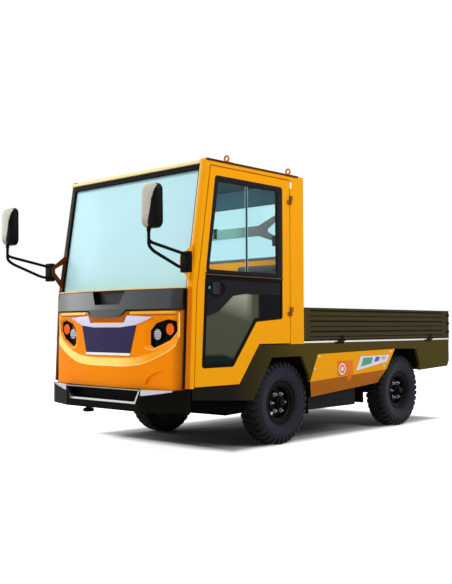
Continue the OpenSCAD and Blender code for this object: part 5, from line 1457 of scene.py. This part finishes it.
head = ribbon(headRows, False)
editAll(head)
fillEnds(head)
smooth(50)
cap = ribbon(reflectionRows, False)
editAll(cap)
bpy.ops.mesh.fill_holes(sides=0)
mode("OBJECT")
apply(cap, "SOLIDIFY", thickness=0.002, offset=0)
faceOut(cap)
smooth(50)
face = plate([(mirrorX + p.x * 0.92, mirrorY + 0.0665, mirrorZ + p.y * 0.95) for p in edge])
thicken(face, (0, 0.0025, 0))
split = block(
    (mirrorX - 0.074, mirrorY + 0.0685, mirrorZ - 0.072), (mirrorX + 0.074, mirrorY + 0.070, mirrorZ - 0.067),
    0.0006)
pair(head, "mirrorHead", "root", mirrorShell, ("mirror_heads",))
# the twin is moved across instead of mirrored, so that the painted reflection lies on the same side of both
# mirrors
pair(cap, "mirrorReflection", "root", mirrorReflection, twin=copyOf(cap, (-2 * mirrorX, 0, 0)))
pair(face, "mirrorFace", "root", mirrorFace)
pair(split, "mirrorSplit", "root", blackPlastic)

stemX, stemY, stemZ = mirrorX - 0.003, mirrorY + 0.018, mirrorZ - halfHigh
clampX, clampY, radius = mirror["clampX"], mirror["clampY"], mirror["tube"]
upper = [(stemX, stemY + 0.004, stemZ - 0.083), (stemX - 0.004, stemY + 0.030, stemZ - 0.095)]
upper.append((clampX, clampY + 0.006, 1.459))
lower = [(stemX + dx, stemY + dy, stemZ + dz) for dx, dy, dz in mirror["bend"]]
lower += [(stemX - 0.0245, stemY + 0.292, 1.3795), (stemX - 0.027, stemY + 0.325, 1.3715)]
lower.append((clampX - 0.004, clampY + 0.006, 1.365))
arms = [tube(upper, radius, 16), tube(lower, radius, 16)]
arms.append(block((0.7775, clampY - 0.021, 1.338), (0.862, clampY + 0.021, 1.488), 0.006, 3))
arms.append(drum((stemX, stemY, stemZ - 0.011), 0.0148, 0.022, "Z", 24, 0.003))
arms += [drum((0.8635, clampY, z), 0.009, 0.006, "X", 6, 0.001, 1) for z in mirror["bolts"]]
pair(join(arms), "mirrorArm", "root", blackPlastic, ("mirror_arms",))
print("mirrors modelled")

sideTrim = {
    "label": [(1.046, 0.685), (1.521, 0.689), (1.470, 0.624), (0.972, 0.560)],
    "stripeGreen": [(1.085, 0.672), (1.245, 0.673), (1.215, 0.616), (1.045, 0.594)],
    "stripeBlue": [(1.29, 0.674), (1.36, 0.675), (1.335, 0.636), (1.262, 0.628)],
    "stripeGrey": [(1.40, 0.676), (1.46, 0.676), (1.445, 0.652), (1.38, 0.645)],
    "screws": [(0.432, 0.700), (0.362, 0.602), (1.545, 0.716), (1.425, 0.590)],
    "cover": [(0.690, 0.658), (0.930, 0.654), (0.922, 0.530), (0.690, 0.520)],
    "tail": [(0.835, 0.5165), (0.924, 0.5205), (0.903, 0.468)], "disc": (0.762, 0.584),
}
pair(sideSheet(sideTrim["label"], 0.8045, 0.8062), "sideLabel", "root", labelWhite)
for key, material in (("stripeGreen", labelGreen), ("stripeBlue", labelBlue), ("stripeGrey", labelGrey)):
    pair(sideSheet(sideTrim[key], 0.8055, 0.8067), key, "root", material)
heads = []
for y, z in sideTrim["screws"]:
    screw = drum((0.8058, y + axleY, z), 0.010, 0.005, "X", 20, 0.0018)
    press(screw, facing("X"), (0.005, (-0.0012, 0, 0)))
    heads.append(screw)
pair(join(heads), "panelScrews", "root", whitePaint)


def onFold(y, z):  # a point of the cover's tail, which leans in below the panel's crease
    lean = math.tan(math.radians(23.2)) * max(0.0, 0.4809 + 0.0511 * y - z)
    return (0.8036 - lean, y + axleY, z)


cover = sideSheet(sideTrim["cover"], 0.7940, 0.8036)
bevelAll(cover, 0.0012)
done(cover, "coverPlateLeft", "root", coverRed, ("charge_cover",))
tail = thicken(plate([onFold(y, z) for y, z in sideTrim["tail"]]), (-0.002, 0, 0))
done(tail, "coverTailLeft", "root", coverRed)
rims = [sideOval(0.8048, sideTrim["disc"], half, 36) for half in ((0.053, 0.050), (0.040, 0.037))]
done(ring(*rims, (-0.0016, 0, 0)), "coverRingLeft", "root", labelWhite)
disc = thicken(plate(sideOval(0.8046, sideTrim["disc"], (0.021, 0.019), 36)), (-0.0012, 0, 0))
done(disc, "coverDiscLeft", "root", labelWhite)
print("sides trimmed")

bed = {"hinges": (("Front", 0.716), ("Rear", 2.241)), "hingeHalf": 0.066, "ends": (0.236, 2.606)}
rearLenses = (
    ("rearStop", 0.003, 0.062, lampRed, "lamp_red"), ("rearTurn", 0.064, 0.108, lampAmber, "lamp_amber"),
    ("rearBack", 0.110, 0.147, lampClear, "lamp_clear"),
)
lampLow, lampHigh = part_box("rear_lamps")
for side, word in bothSides:
    # painted shade: a dark block behind the slit under each dropside keeps the slit dark
    gapShade = placed((side * 0.7655, side * 0.7720), bed["ends"], (0.8338, 0.8470), 0.0012)
    done(gapShade, "deckUpstand" + word, "root", linerBlack)
    for end, at in bed["hinges"]:
        span = (at - bed["hingeHalf"], at + bed["hingeHalf"])
        hinge = placed((side * 0.8052, side * 0.8105), span, (0.8065, 0.8222), 0.0018)
        done(hinge, "hingePlate" + end + word, "root", linerBlack)
    outside = lampHigh.x
    low, high = sorted((side * (outside - 0.150), side * outside))
    case = block((low, lampLow.y, lampLow.z), (high, lampHigh.y - 0.006, lampHigh.z), 0.003)
    done(case, "rearCase" + word, "root", blackPlastic, ("rear_lamps",))
    for name, near, far, material, slot in rearLenses:
        low, high = sorted((side * (outside - near), side * (outside - far)))
        face, bottom, top = lampHigh.y, lampLow.z + 0.003, lampHigh.z - 0.003
        lens = block((low, face - 0.0065, bottom), (high, face - 0.001, top), 0.0018)
        press(lens, facing("Y"), (0.006, (0, 0.0009, 0)))
        gone = ("rear_lamps",) if name == "rearStop" else ()
        done(lens, name + word, "root", material, gone)
print("bed fitted")


# floor

studioFloor = {
    "size": 80, "shadow": (("X", 0.13, 0.85), ("Y", -0.48, 1.62)),  # axis, shift and half size of the painted shadow
    # near is the colour of the painted shadow under the vehicle, far the floor's colour round it
    "near": (0.3, 0.3, 0.3, 1), "far": (0.93, 0.93, 0.93, 1), "glow": 0.9,
}
floorLook, tree, shader = newMaterial("studioFloor")
place = part(tree, "SeparateXYZ", {0: objectPlace(tree)}).outputs
past = []
for axis, shift, half in studioFloor["shadow"]:
    aside = maths(tree, "ABSOLUTE", maths(tree, "ADD", place[axis], shift))
    past.append(maths(tree, "SUBTRACT", aside, half))
reach = maths(tree, "MAXIMUM", *past)  # how far outside the painted shadow
lifted = ramp(tree, reach, -0.08, 0.14, 0.0, studioFloor["glow"])  # the far floor goes to the white behind
# painted shadow: the floor's colour darkens inside the vehicle's outline
shade = ramp(tree, reach, -0.25, 0.08)
seen = part(tree, "LightPath").outputs["Is Camera Ray"]
feed(tree, shader, {
    "Base Color": blendOf(tree, shade, studioFloor["near"], studioFloor["far"]),
    "Roughness": 0.9, "Specular IOR Level": 0.05,
    "Emission Color": (1, 1, 1, 1), "Emission Strength": maths(tree, "MULTIPLY", seen, lifted),
})
deselect()
bpy.ops.mesh.primitive_plane_add(size=studioFloor["size"], location=(0, 0, 0))
floor = bpy.context.object
floor.name = "studioFloor"
floor.data.materials.append(floorLook)
